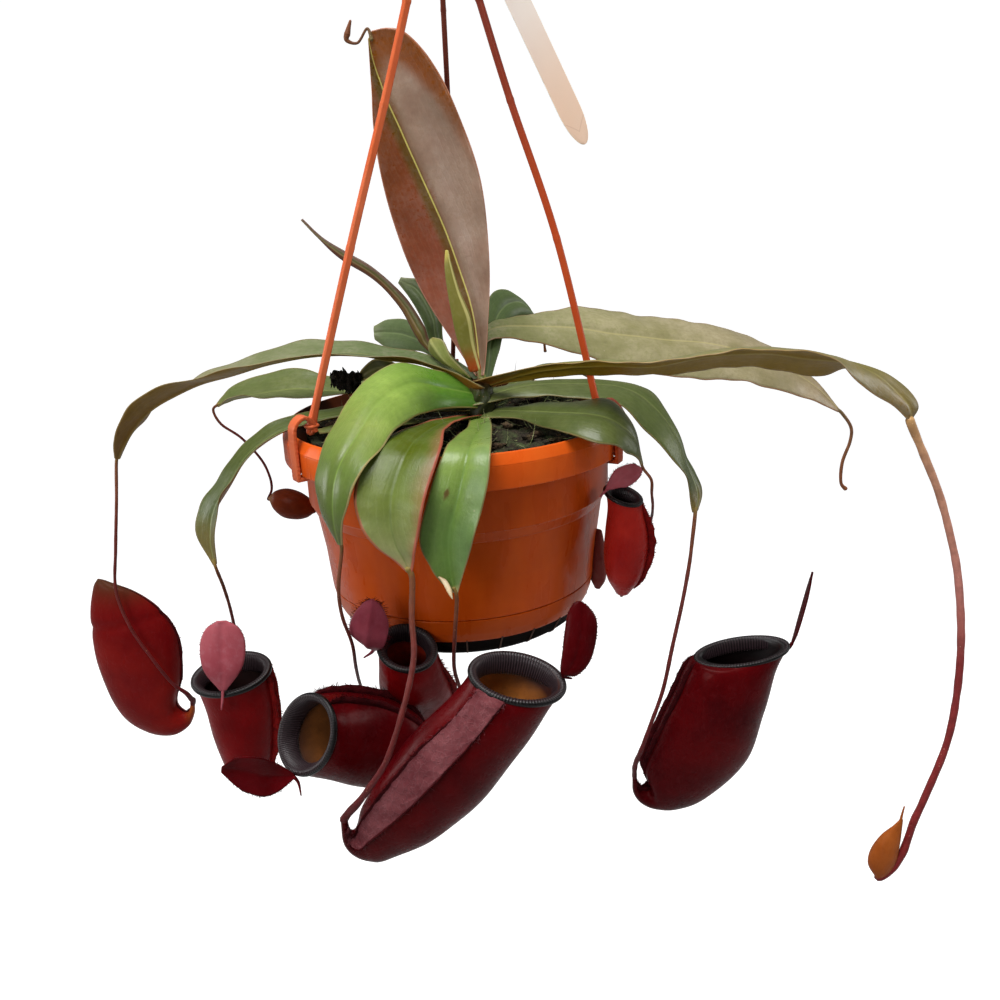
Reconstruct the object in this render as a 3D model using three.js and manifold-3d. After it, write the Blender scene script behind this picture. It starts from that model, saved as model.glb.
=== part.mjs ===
// Hanging pitcher plant in a plastic pot. Millimetres, +Z up, +X to the right.
// The origin is the seat of the hanger's hook, the point that rests on the rail.
import * as THREE from 'three';
import { mergeVertices } from 'three/addons/utils/BufferGeometryUtils.js';
import Module from 'manifold-3d';

const wasm = await Module();
wasm.setup();

// ---- driving dimensions -------------------------------------------------------------------
const GAP = 0.3;                 // clearance where two pieces touch
const RIM_DROP = 235;            // from the hook's seat down to the pot's rim
const POT_OFFSET = -4;           // the pot hangs a little to the left of the hook

const COLLAR_RADIUS = 70;        // a 14 cm pot
const COLLAR_HEIGHT = 13;
const COLLAR_SKIN = 1.6;
const RIM_RADIUS = 67;
const BAND_RADIUS = 62.2;        // wall under the collar
const BAND_BOTTOM = -31;
const WALL = 1.4;
const TRAY_TOP = -68.4;
const TRAY_RADIUS = 55.7;
const TRAY_BOTTOM = -86;
const POT_FLOOR = -78;
const DRAIN_RADIUS = 4;
const DRAIN_CIRCLE = 30;
const DRAIN_COUNT = 5;
const SOIL_TOP = -3.5;
const ROUND_STEPS = 32;

const JUNCTION_DROP = 40.4;      // from the hook's seat to where the three arms meet
const HOOK_RADIUS = 11;          // inside of the hook
const HOOK_ROD = 2.2;
const ARM_ROD = 1.6;
const ARM_BENDS = [[15.2, 83.8], [27.3, 118], [45.6, 167]];   // reach from the hook's line, and drop
const ARM_FOOT_RADIUS = 62;      // from the pot's axis
const ARM_FOOT_HEIGHT = 9;
const STRAP_WIDTH = 4.4;
const STRAP_THICKNESS = 1.4;
const TAG_WIDTH = 8.6;
const TAG_THICKNESS = 0.6;
const TAG_TOP = [4.2, 0, -35.6];   // from the hook's seat, as the tip is
const TAG_TIP = [50, -8, -134];
const TAG_RING_RADIUS = 3.2;
const TAG_RING_ROD = 0.7;
// each lug: where its clip grips the collar, and the slot in the collar around it, in degrees
const LUGS = [
  { name: 'hanger_arm_left', azimuth: 212, slot: [-5, 5] },
  { name: 'hanger_arm_right', azimuth: 330, slot: [-10.5, 5] },
  { name: 'hanger_arm_back', azimuth: 90, slot: [-5, 5] },
];

const BLADE_THICKNESS = 1.2;
const LID_THICKNESS = 1;
const SEAT = 0.7;                // from a flat end's middle to the round piece it sits on
const FOOT_HALF_WIDTH = 1.6;      // where a blade clasps the stem
const PITCHER_WALL = 1.2;
const PERISTOME = 2.6;           // width of the ribbed rim round a pitcher's mouth

// ---- finishes -----------------------------------------------------------------------------
const finish = (color, roughness) => new THREE.MeshStandardMaterial({ color, roughness, metalness: 0 });
const ORANGE = finish(0xb8451a, 0.35);
const DARK_ARM = finish(0x8c3424, 0.4);
const EARTH = finish(0x2a2119, 0.95);
const TAG = finish(0xe8d5c4, 0.5);
const LEAF = finish(0x55713a, 0.45);
const YOUNG_LEAF = finish(0x8a9a35, 0.45);
const TALL_LEAF = finish(0x8a5a3c, 0.45);
const TENDRIL = finish(0x5d2a26, 0.5);
const PITCHER = finish(0x5e1219, 0.35);
const LID = finish(0x8a3a45, 0.45);
const DRIED = finish(0x17130f, 0.95);

// ---- shape helpers ------------------------------------------------------------------------
const radians = THREE.MathUtils.degToRad;
const vec = ([x, y, z]) => new THREE.Vector3(x, y, z);
const curveThrough = (points) => new THREE.CatmullRomCurve3(points.map(vec));

function positionsOnly(geometry) {
  const bare = geometry.clone();
  bare.deleteAttribute('normal');
  bare.deleteAttribute('uv');
  return mergeVertices(bare, 1e-4);
}

function toSolid(geometry) {
  const merged = positionsOnly(geometry);
  return new wasm.Manifold(new wasm.Mesh({
    numProp: 3,
    vertProperties: new Float32Array(merged.attributes.position.array),
    triVerts: new Uint32Array(merged.index.array),
  }));
}

function fromSolid(solid) {
  const mesh = solid.getMesh();
  const geometry = new THREE.BufferGeometry();
  geometry.setAttribute('position', new THREE.BufferAttribute(mesh.vertProperties, 3));
  geometry.setIndex(new THREE.BufferAttribute(mesh.triVerts, 1));
  return geometry;
}

const joined = (...geometries) => fromSolid(geometries.map(toSolid).reduce((a, b) => a.add(b)));
const without = (geometry, ...cutters) => fromSolid(
  cutters.map(toSolid).reduce((a, b) => a.subtract(b), toSolid(geometry)));

// A closed skin through rings of points that all have the same count, with both ends capped.
function skin(rings) {
  const count = rings[0].length;
  const last = (rings.length - 1) * count;
  const points = rings.flat();
  const triangles = [];
  for (let ring = 0; ring < rings.length - 1; ring += 1) {
    for (let k = 0; k < count; k += 1) {
      const a = ring * count + k;
      const b = ring * count + (k + 1) % count;
      triangles.push([a, b, b + count], [a, b + count, a + count]);
    }
  }
  for (let k = 1; k < count - 1; k += 1) {
    triangles.push([0, k + 1, k], [last, last + k, last + k + 1]);
  }
  const volume = triangles.reduce((sum, [a, b, c]) => (
    sum + points[a].dot(points[b].clone().cross(points[c]))), 0);
  if (volume < 0) triangles.forEach((triangle) => triangle.reverse());
  const geometry = new THREE.BufferGeometry();
  geometry.setFromPoints(points);
  geometry.setIndex(triangles.flat());
  return geometry;
}

// A round or many-sided rod along a curve.
function rod(curve, radius, steps, sides = 6) {
  const section = new THREE.Shape(Array.from({ length: sides }, (_, k) => {
    const angle = 2 * Math.PI * k / sides;
    return new THREE.Vector2(radius * Math.cos(angle), radius * Math.sin(angle));
  }));
  return new THREE.ExtrudeGeometry(section, { extrudePath: curve, steps });
}

function lathe(profile, steps = ROUND_STEPS) {
  const geometry = new THREE.LatheGeometry(profile.map(([r, z]) => new THREE.Vector2(r, z)), steps);
  return geometry.rotateX(Math.PI / 2);
}

// A wedge of a ring round the pot's axis, as a cutter.
function ringWedge(inner, outer, bottom, top, from, to) {
  const shape = new THREE.Shape();
  shape.absarc(0, 0, outer, radians(from), radians(to), false);
  shape.absarc(0, 0, inner, radians(to), radians(from), true);
  const depth = top - bottom;
  const wedge = new THREE.ExtrudeGeometry(shape, { depth, bevelEnabled: false, curveSegments: 4 });
  return wedge.translate(0, 0, bottom);
}

// ---- pot ----------------------------------------------------------------------------------
function potGeometry() {
  const inner = COLLAR_RADIUS - COLLAR_SKIN;
  const body = lathe([
    [0, POT_FLOOR],
    [47.5, POT_FLOOR],
    [51.6, -75],
    [53.2, TRAY_TOP + GAP],
    [TRAY_RADIUS, TRAY_TOP + GAP],
    [57.2, -52],
    [59.6, -35.5],
    [BAND_RADIUS, BAND_BOTTOM],
    [BAND_RADIUS, -8],
    [inner, -4.4],
    [inner, -COLLAR_HEIGHT],
    [COLLAR_RADIUS, -COLLAR_HEIGHT],
    [COLLAR_RADIUS, -4],
    [RIM_RADIUS + 0.8, 0],
    [RIM_RADIUS, 0],
    [RIM_RADIUS - 1.4, -3],
    [BAND_RADIUS - WALL, -9.5],
    [BAND_RADIUS - WALL, BAND_BOTTOM],
    [59.6 - WALL, -36],
    [TRAY_RADIUS - WALL, -64],
    [51, -69],
    [50, -74.2],
    [46.8, POT_FLOOR + 1.6],
    [0, POT_FLOOR + 1.6],
  ]);
  const slots = LUGS.map(({ azimuth, slot }) => ringWedge(
    inner - 0.8, COLLAR_RADIUS + 2, -COLLAR_HEIGHT - 2, -4.8, azimuth + slot[0], azimuth + slot[1]));
  const drains = Array.from({ length: DRAIN_COUNT }, (_, k) => {
    const angle = 2 * Math.PI * k / DRAIN_COUNT;
    const drain = new THREE.CylinderGeometry(DRAIN_RADIUS, DRAIN_RADIUS, 6, 12).rotateX(Math.PI / 2);
    return drain.translate(DRAIN_CIRCLE * Math.cos(angle), DRAIN_CIRCLE * Math.sin(angle), POT_FLOOR);
  });
  return without(body, ...slots, ...drains);
}

function trayGeometry() {
  return lathe([
    [0, TRAY_BOTTOM],
    [46.5, TRAY_BOTTOM],
    [49.3, -84],
    [51.4, -80.4],
    [53.2, -77.6],
    [54.4, -74.4],
    [TRAY_RADIUS, TRAY_TOP],
    [53.6, TRAY_TOP],
    [52.1, -75.4],
    [48.2, -79.4],
    [46, -83.8],
    [0, -83.8],
  ]);
}

function pottingMixGeometry() {
  const clear = WALL + GAP + 0.1;
  return lathe([
    [0, POT_FLOOR + 1.6 + GAP],
    [46.4, POT_FLOOR + 1.6 + GAP],
    [49.4, -73.6],
    [50.5, -68],
    [TRAY_RADIUS - clear - 0.2, -62],
    [59 - clear, -37],
    [BAND_RADIUS - clear, BAND_BOTTOM],
    [BAND_RADIUS - clear, -9.2],
    [64.6, SOIL_TOP],
    [0, SOIL_TOP],
  ]);
}

// ---- hanger -------------------------------------------------------------------------------
// The neck rises from the junction, swings out to the right and curls over the rail.
function hookGeometry() {
  const rodLine = HOOK_RADIUS + HOOK_ROD;
  const points = [[0, 0, -JUNCTION_DROP], [0, 0, -34], [2, 0, -29]];
  for (let angle = -45; angle <= 205; angle += 25) {
    const [x, rise] = [Math.cos(radians(angle)), Math.sin(radians(angle))];
    points.push([rodLine * x, 0, rodLine * rise - HOOK_RADIUS]);
  }
  const boss = new THREE.SphereGeometry(4.2, 12, 8).translate(0, 0, -JUNCTION_DROP);
  return joined(rod(curveThrough(points), HOOK_ROD, 26, 8), boss);
}

// One arm: a slightly bowed rod down to its foot, and a strap that hooks under the collar.
function armGeometry({ azimuth }) {
  const radial = new THREE.Vector3(Math.cos(radians(azimuth)), Math.sin(radians(azimuth)), 0);
  const rim = new THREE.Vector3(POT_OFFSET, 0, -RIM_DROP);
  const atRim = (r, z) => rim.clone().addScaledVector(radial, r).add(new THREE.Vector3(0, 0, z));
  const junction = new THREE.Vector3(0, 0, -JUNCTION_DROP);
  const start = junction.clone().addScaledVector(radial, 2.2).add(new THREE.Vector3(0, 0, -4.3));
  const bends = ARM_BENDS.map(([reach, drop]) => (
    new THREE.Vector3(0, 0, -drop).addScaledVector(radial, reach)));
  const foot = [atRim(ARM_FOOT_RADIUS, ARM_FOOT_HEIGHT), atRim(63, 4)];
  const arm = rod(new THREE.CatmullRomCurve3([start, ...bends, ...foot]), ARM_ROD, 10, 6);
  const clipLine = new THREE.CatmullRomCurve3([
    atRim(62.5, 3.2), atRim(63.5, 7), atRim(67, 9), atRim(70.6, 6.2), atRim(71.3, 1),
    atRim(71.3, -7), atRim(71.3, -COLLAR_HEIGHT - 1.2),
  ]);
  const strapShape = new THREE.Shape([
    new THREE.Vector2(-STRAP_THICKNESS / 2, -STRAP_WIDTH / 2),
    new THREE.Vector2(STRAP_THICKNESS / 2, -STRAP_WIDTH / 2),
    new THREE.Vector2(STRAP_THICKNESS / 2, STRAP_WIDTH / 2),
    new THREE.Vector2(-STRAP_THICKNESS / 2, STRAP_WIDTH / 2),
  ]);
  const strap = flatStrap(clipLine, radial, strapShape);
  const barbCentre = atRim(69.3, -COLLAR_HEIGHT - GAP - 0.8);
  const barb = new THREE.BoxGeometry(5, STRAP_WIDTH, 1.6)
    .rotateZ(radians(azimuth)).translate(...barbCentre.toArray());
  return joined(arm, strap, barb);
}

// A strap of rectangular section that stays square to the radial plane it bends in.
function flatStrap(line, radial, shape) {
  const side = new THREE.Vector3(-radial.y, radial.x, 0);
  const corners = shape.getPoints(1).slice(0, 4);
  const rings = [];
  const steps = 14;
  for (let k = 0; k <= steps; k += 1) {
    const centre = line.getPointAt(k / steps);
    const tangent = line.getTangentAt(k / steps);
    const out = tangent.clone().cross(side).normalize();
    rings.push(corners.map((c) => centre.clone().addScaledVector(out, c.x).addScaledVector(side, c.y)));
  }
  return skin(rings);
}

// A bare tag: a moulded ring that sits on the boss round the hook's neck, and a long strip.
function tagGeometry() {
  const ring = new THREE.TorusGeometry(TAG_RING_RADIUS, TAG_RING_ROD, 6, 16)
    .translate(0, 0, TAG_TOP[2] - TAG_RING_ROD);
  const half = TAG_WIDTH / 2;
  const top = vec(TAG_TOP);
  const down = vec(TAG_TIP).sub(top);
  const length = down.length();
  down.normalize();
  const outline = new THREE.Shape();
  outline.moveTo(-1, 0);
  outline.lineTo(-1.4, -12);
  outline.lineTo(-half, -24);
  outline.lineTo(-half, 14 - length);
  outline.quadraticCurveTo(-half * 0.7, 3 - length, 0, -length);
  outline.quadraticCurveTo(half * 0.7, 3 - length, half, 14 - length);
  outline.lineTo(half, -24);
  outline.lineTo(1.4, -12);
  outline.lineTo(1, 0);
  const depth = TAG_THICKNESS;
  const strip = new THREE.ExtrudeGeometry(outline, { depth, bevelEnabled: false, curveSegments: 6 });
  const face = new THREE.Vector3(0, -1, 0).addScaledVector(down, down.y).normalize();
  const up = down.clone().negate();
  const turn = new THREE.Matrix4().makeBasis(up.clone().cross(face), up, face).setPosition(top);
  return joined(strip.applyMatrix4(turn), ring);
}

// ---- plant --------------------------------------------------------------------------------
// Plant coordinates are measured from the centre of the pot's rim.

// A leaf blade between its two edges. The middle is raised by camber, as a share of the width.
function bladeGeometry({ foot, left, right, camber = 0.1, steps = 10, thickness = BLADE_THICKNESS }) {
  const feet = foot ? bladeFoot(foot, left[0], right[0]) : [];
  const leftEdge = new THREE.CatmullRomCurve3([...feet.slice(0, 1), ...left.map(vec)]);
  const rightEdge = new THREE.CatmullRomCurve3([...feet.slice(1), ...right.map(vec)]);
  const middle = (t) => leftEdge.getPoint(t).add(rightEdge.getPoint(t)).multiplyScalar(0.5);
  const lanes = 4;
  const rings = [];
  for (let i = 0; i <= steps; i += 1) {
    const t = i / steps;
    const a = leftEdge.getPoint(t);
    const b = rightEdge.getPoint(t);
    const across = b.clone().sub(a);
    const along = middle(Math.min(1, t + 0.02)).sub(middle(Math.max(0, t - 0.02)));
    const normal = across.clone().cross(along).normalize();
    const top = [];
    const bottom = [];
    for (let lane = 0; lane <= lanes; lane += 1) {
      const s = lane / lanes;
      const rise = 4 * s * (1 - s);
      const point = a.clone().addScaledVector(across, s)
        .addScaledVector(normal, camber * across.length() * rise);
      const half = thickness * (0.3 + 0.2 * rise);
      top.push(point.clone().addScaledVector(normal, half));
      bottom.unshift(point.clone().addScaledVector(normal, -half));
    }
    rings.push([...top, ...bottom]);
  }
  return skin(rings);
}

// A pitcher, a bud or a rolled leaf. Each station is
// [xLeft, zLeft, xRight, zRight, y, depth, nod, swing]: the two sides of the section, the y of its
// middle, its half depth, and how much lower and further right its front is than its middle.
function pitcherRings(stations, times, scale, sink = 0) {
  const edge = (pick) => new THREE.CatmullRomCurve3(stations.map(pick));
  const leftSide = edge(([x, z, , , y]) => new THREE.Vector3(x, y, z));
  const rightSide = edge(([, , x, z, y]) => new THREE.Vector3(x, y, z));
  const fronts = edge(([, , , , , depth, nod = 0, swing = 0]) => new THREE.Vector3(swing, -depth, -nod));
  return times.map((t) => {
    const a = leftSide.getPoint(t);
    const b = rightSide.getPoint(t);
    const centre = a.clone().add(b).multiplyScalar(0.5);
    const side = b.clone().sub(centre);
    const front = fronts.getPoint(t);
    const up = front.clone().cross(side).normalize();
    const shrink = Math.max(0.15, 1 + scale / Math.min(side.length(), front.length()));
    return { centre: centre.addScaledVector(up, -sink), side, front, shrink };
  });
}

function ringPoints({ centre, side, front, shrink }, wing = 0, wings = []) {
  const sides = 10;
  const marks = [];
  for (let k = 0; k < sides; k += 1) marks.push([360 * k / sides, 0]);
  wings.forEach((angle) => marks.push([angle - 5, 0], [angle, wing], [angle + 5, 0]));
  marks.sort((p, q) => p[0] - q[0]);
  return marks.map(([angle, reach]) => {
    const out = side.clone().multiplyScalar(Math.cos(radians(angle)))
      .addScaledVector(front, Math.sin(radians(angle)));
    const stretch = shrink + reach / out.length();
    return centre.clone().addScaledVector(out, stretch);
  });
}

function podGeometry({ stations, steps = 8 }) {
  const times = Array.from({ length: steps + 1 }, (_, k) => k / steps);
  return skin(pitcherRings(stations, times, 0).map((ring) => ringPoints(ring)));
}

function pitcherGeometry({ stations, wings = [], wingReach = 2.5, hollowFrom = 0.3, steps = 8 }) {
  const outerTimes = Array.from({ length: steps + 1 }, (_, k) => k / steps);
  const outer = pitcherRings(stations, outerTimes, 0).map((ring, k) => {
    const share = Math.sin(Math.PI * Math.min(1, outerTimes[k] * 1.08));
    return ringPoints(ring, Math.max(0, wingReach * share), wings);
  });
  const [lip] = pitcherRings(stations, [1], 0);
  const lipUp = lip.front.clone().cross(lip.side).normalize();
  const upward = lipUp.z < 0 ? -1 : 1;
  const raised = (shrink, lift) => ringPoints(
    { ...lip, centre: lip.centre.clone().addScaledVector(lipUp, lift * upward), shrink }, 0, wings);
  const reach = Math.min(lip.side.length(), lip.front.length());
  const collar = [raised(1.06, 0.3), raised(1, 1), raised(1 - PERISTOME / reach, 0.2)];
  const innerTimes = [0.9, 0.75, 0.55, hollowFrom];
  const inner = pitcherRings(stations, innerTimes, -PITCHER_WALL)
    .map((ring) => ringPoints(ring, 0, wings));
  return skin([...outer, ...collar, ...inner]);
}

// A tendril runs on from a blade's tip, and where it carries a pitcher it ends at the pitcher's base.
function tendrilGeometry({ from, to, points, radius }) {
  const { end, along } = bladeTip(BLADES[from]);
  const path = [SEAT + 0.2, 2.4].map((reach) => end.clone().addScaledVector(along, reach));
  path.push(...points.map(vec));
  const carried = PITCHERS[to] ?? PODS[to];
  if (carried) {
    const [base, above] = carried.stations.map(([x1, z1, x2, z2, y]) => (
      new THREE.Vector3((x1 + x2) / 2, y, (z1 + z2) / 2)));
    const axis = above.sub(base).normalize();
    path.push(...[2.6, SEAT].map((reach) => base.clone().addScaledVector(axis, -reach)));
  }
  return rod(new THREE.CatmullRomCurve3(path), radius, Math.max(6, Math.round(1.5 * path.length)), 5);
}

const STEM_AT = [10, -5];
const STEM_RADIUS = 4.4;
const STEM_TOP = 14;

function stemGeometry() {
  const bottom = SOIL_TOP + GAP;
  const stem = new THREE.CylinderGeometry(STEM_RADIUS, STEM_RADIUS, STEM_TOP - bottom, 16);
  return stem.rotateX(Math.PI / 2).translate(...STEM_AT, (STEM_TOP + bottom) / 2);
}

// The two corners where a blade clasps the stem, ordered as its left and right edges are.
function bladeFoot([azimuth, height], left, right) {
  const radial = new THREE.Vector3(Math.cos(radians(azimuth)), Math.sin(radians(azimuth)), 0);
  const tangent = new THREE.Vector3(-radial.y, radial.x, 0);
  const centre = new THREE.Vector3(...STEM_AT, height).addScaledVector(radial, STEM_RADIUS + SEAT);
  const sign = Math.sign(vec(left).sub(vec(right)).dot(tangent));
  return [1, -1].map((side) => centre.clone().addScaledVector(tangent, side * sign * FOOT_HALF_WIDTH));
}

// The end of a blade's midrib and the direction it points in.
function bladeTip({ left, right }) {
  const last = left.length - 1;
  const end = vec(left[last]).add(vec(right[right.length - 1])).multiplyScalar(0.5);
  const before = vec(left[last - 1]).add(vec(right[right.length - 2])).multiplyScalar(0.5);
  return { end, along: end.clone().sub(before).normalize() };
}

// Blades: the edge further from the viewer and the nearer one, both from the stem to the tip.
const BLADES = {
  tall_leaf: {
    material: TALL_LEAF, camber: -0.14, steps: 11,
    left: [[9, -2.6, 15], [7, 0, 18], [2, 3, 26], [-12, 6, 51], [-21, 8, 79], [-25, 10, 105],
      [-25, 12, 124], [-25, 14, 142]],
    right: [[12.4, -3, 15], [13.4, 0, 19], [15, 3, 32], [17, 6, 58], [15, 8, 90], [6, 10, 117],
      [-6, 13, 139], [-23, 15, 145]],
  },
  right_long_leaf: {
    material: LEAF, steps: 13,
    foot: [350, 11],
    left: [[27, -13, 14], [38, -24, 17], [52, -36, 19.6], [78, -40, 19], [108, -39, 21],
      [135, -37, 15], [150, -34, 16], [165, -36, 14], [173, -42, 4], [170, -45, -2]],
    right: [[27, -22, 20], [40, -38, 25], [52, -56, 28], [67, -62, 28], [97, -64, 31],
      [120, -62, 30], [136, -58, 23], [150, -52, 12], [161, -48, 5], [169, -46, -2]],
  },
  right_broad_leaf: {
    material: LEAF, steps: 11,
    foot: [25, 11],
    left: [[23, 22, 24], [33, 34, 32], [57, 46, 34], [83, 56, 28], [110, 60, 23],
      [140, 62, 14], [167, 58, -4], [180, 51, -20]],
    right: [[25, 10, 17], [37, 16, 23], [61, 22, 16], [90, 28, 5], [124, 34, 0],
      [145, 37, -6], [165, 43, -14], [179, 49, -21]],
  },
  left_long_leaf: {
    material: LEAF, steps: 13,
    foot: [185, 12],
    left: [[-6, 6, 21], [-23, 8, 26], [-42, 10, 29], [-62, 12, 30], [-82, 12, 25],
      [-101, 10, 19], [-118, 8, 10], [-129, 5, 0], [-135, 1, -8], [-137, -2, -12]],
    right: [[-6, -9, 20], [-20, -11, 25], [-40, -12, 28], [-59, -14, 28], [-80, -14, 25],
      [-104, -14, 21], [-121, -14, 15], [-131, -12, 6], [-136, -9, -3], [-138, -5, -11]],
  },
  back_left_leaf: {
    material: LEAF,
    foot: [150, 8.4],
    left: [[-5, 14, 13], [-23, 22, 12], [-49, 31, 10], [-70, 40, 14], [-94, 42, 8], [-102, 38, 3],
      [-105, 34, 0]],
    right: [[-6, 8, 10], [-22, 10, 7], [-45, 12, 7], [-66, 14, 6], [-88, 18, 7], [-97, 26, 5],
      [-103, 32, 0]],
  },
  left_arched_leaf: {
    material: LEAF, steps: 11,
    foot: [195, 3.4],
    left: [[-22, -2, 6], [-46, -6, 6], [-61, -12, 5], [-74, -16, 2], [-85, -20, -6], [-94, -22, -17],
      [-102, -24, -27], [-103, -28, -38], [-97, -34, -48]],
    right: [[-22, -14, 4], [-45, -21, 5], [-60, -25, 3], [-68, -28, 1], [-78, -32, -5], [-85, -36, -14],
      [-91, -38, -23], [-94, -38, -36], [-95, -36, -47]],
  },
  front_broad_leaf: {
    material: YOUNG_LEAF, camber: -0.1, steps: 13,
    foot: [222, 8],
    left: [[-7, -10, 19], [-20, -18, 25], [-32, -30, 21], [-39, -42, 14], [-46, -57, 4],
      [-49, -63, -5], [-49, -67, -14], [-46, -70, -22], [-43, -72, -28]],
    right: [[-3, -20, 6], [-12, -36, 8], [-20, -54, 8], [-25, -66, 5], [-30, -76, 1],
      [-34, -80, -4], [-37, -81, -11], [-40, -78, -20], [-41, -74, -28]],
  },
  front_left_leaf: {
    material: LEAF, camber: 0.04, steps: 11,
    foot: [242, -0.6],
    left: [[-4, -24, 3], [-18, -45, 5], [-29, -65, 4], [-35, -78, -8], [-34, -81, -18], [-29, -83, -26],
      [-23, -84, -31], [-19, -85, -35]],
    right: [[3, -26, 3], [-3, -48, 5], [-5, -70, 3.4], [-10, -81, -7], [-13, -85, -18], [-15, -86, -26],
      [-16, -86, -31], [-17, -86, -35]],
  },
  front_right_leaf: {
    material: LEAF, camber: 0.04, steps: 11,
    foot: [282, -0.6],
    left: [[5, -30, 1], [-1, -54, 2.6], [-4, -69, 2.6], [-9, -75.6, -8], [-14, -77, -26], [-11, -79, -36],
      [-8, -80, -41], [-4, -81, -45]],
    right: [[14, -30, 1], [13, -54, 2.6], [12, -71, 2.6], [10, -79, -8], [5, -82, -24], [2, -82, -33],
      [0, -82, -39], [-2, -82, -45]],
  },
  right_front_leaf: {
    material: LEAF,
    foot: [325, 0],
    left: [[23, -10, 3], [34, -20, 6], [48, -33, 9], [57, -39, 10], [62, -42, 7], [65, -44, 1],
      [67, -47, -7], [68.4, -48, -12]],
    right: [[23, -22, 1], [31, -38, 2], [39, -56, 3], [49, -64, 1], [57, -62, -2], [63, -58, -5],
      [66, -54, -9], [67.6, -50, -12]],
  },
  right_bent_leaf: {
    material: LEAF, steps: 11,
    foot: [350, 6],
    left: [[37, 6, 10], [60, 12, 7], [76, 13, 4], [84, 10, 1], [90, 3, -10], [93, -4, -21],
      [96, -8, -28], [99, -12, -35], [96, -20, -42]],
    right: [[30, -11, 7], [52, -14, 5.6], [66, -16, 2.6], [76, -19, -8], [85, -21, -19], [90, -21, -26],
      [92, -20, -32], [93, -20, -37], [94, -21, -42]],
  },
  upright_back_leaf: {
    material: LEAF, steps: 8,
    foot: [140, 12.4],
    left: [[-7, 10, 24], [-17, 13, 35], [-23, 15, 45], [-21, 16, 50]],
    right: [[-3, 10, 26], [-8, 13, 39], [-12, 15, 50], [-19, 16, 51]],
  },
  blunt_back_leaf: {
    material: LEAF, steps: 8,
    foot: [112, 5.6],
    left: [[-7, 17, 19], [-22, 28, 22], [-33, 34, 25], [-35, 35, 29]],
    right: [[-4, 20, 22], [-18, 31, 32], [-28, 36, 35], [-34, 36, 31]],
  },
  folded_leaf: {
    material: LEAF, camber: 0.14, steps: 10,
    foot: [118, 9.8],
    left: [[-6, 17, 23], [-21, 25, 38], [-33, 31, 52], [-48, 35, 66], [-60, 37, 76]],
    right: [[-4, 16, 26], [-19, 22, 42], [-31, 28, 55], [-46, 33, 69], [-60, 36, 77]],
  },
  back_right_leaf: {
    material: LEAF, steps: 10,
    foot: [56, 9],
    left: [[14, 26, 33], [18, 38, 42], [25, 45, 43], [33, 49, 37], [40, 49, 27]],
    right: [[22, 24, 26], [28, 38, 30], [34, 45, 31], [38, 49, 29], [40.6, 49, 26]],
  },
  low_back_leaf: {
    material: LEAF, steps: 8,
    foot: [14, 1.6],
    left: [[24, 14, 8], [36, 26, 12], [48, 34, 10], [60, 38, 4]],
    right: [[28, 4, 8], [42, 14, 12], [54, 24, 9], [61, 36, 3]],
  },
  curled_leaf: {
    material: LEAF, steps: 8,
    left: [[6.8, -3.2, 15.1], [-4, 2, 20], [-9, 5, 24], [-9, 6, 28]],
    right: [[7, -6.4, 15.1], [0, -3, 23], [-3, 1, 29], [-7, 5, 30]],
  },
  side_leaf: {
    material: LEAF, steps: 10,
    foot: [190, -1.2],
    left: [[-16, -8, 0], [-34, -14, 3], [-48, -20, 2], [-53, -23, 1]],
    right: [[-14, -18, 0], [-30, -24, 1], [-44, -27, 1], [-52, -26, 0]],
  },
  dying_leaf: {
    material: LEAF, steps: 8,
    foot: [150, 3],
    left: [[-14, 8, 5], [-26, 10, 10], [-36, 11, 13]],
    right: [[-14, 0, 4], [-27, 2, 8], [-37, 8, 12]],
  },
};

const PODS = {
  rolled_leaf: {
    material: YOUNG_LEAF,
    stations: [[8.8, 14.6, 12, 14.6, -6.8, 1.5], [6, 26, 13, 28, -6, 3.4],
      [3, 38, 11, 42, -7, 3.4], [2, 50, 8, 54, -7, 2.6], [1, 63, 2, 64, -6, 0.6]],
  },
  closed_pitcher_left: {
    material: PITCHER,
    stations: [[-122, -127, -125, -130, -4, 3], [-127, -117, -139, -131, -4, 7],
      [-128, -105, -154, -118, -4, 9],
      [-127, -92, -158, -93, -4, 9], [-131, -78, -157, -76, -5, 7], [-136, -70, -154, -62, -6, 3],
        [-144, -66, -152, -62, -6, 1]],
  },
  small_pod: {
    material: PITCHER,
    stations: [[-85, -42, -85, -44, 33, 1], [-78, -38, -80, -48, 32, 4],
      [-71, -40, -74, -53, 30, 5], [-66, -46, -68, -52, 30, 3], [-64.5, -49, -65, -51, 30, 1]],
  },
  tendril_bud: {
    material: PITCHER,
    stations: [[171, -204, 174, -205, -46, 1.5], [168, -198, 177, -200, -46, 3.4],
      [171, -191, 180, -192, -46, 3.8], [176, -183, 180, -182, -46, 1.6],
      [179, -174, 180.4, -173, -46, 0.6]],
  },
  flat_bud: {
    material: PITCHER,
    stations: [[57, -77, 60, -76, -12, 1.4], [54.6, -66, 62.4, -66, -13, 3],
      [56.5, -54, 62.4, -54, -14, 3], [58.6, -46, 61, -46, -14, 2], [59, -40, 60.4, -40, -14, 1]],
  },
};

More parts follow.
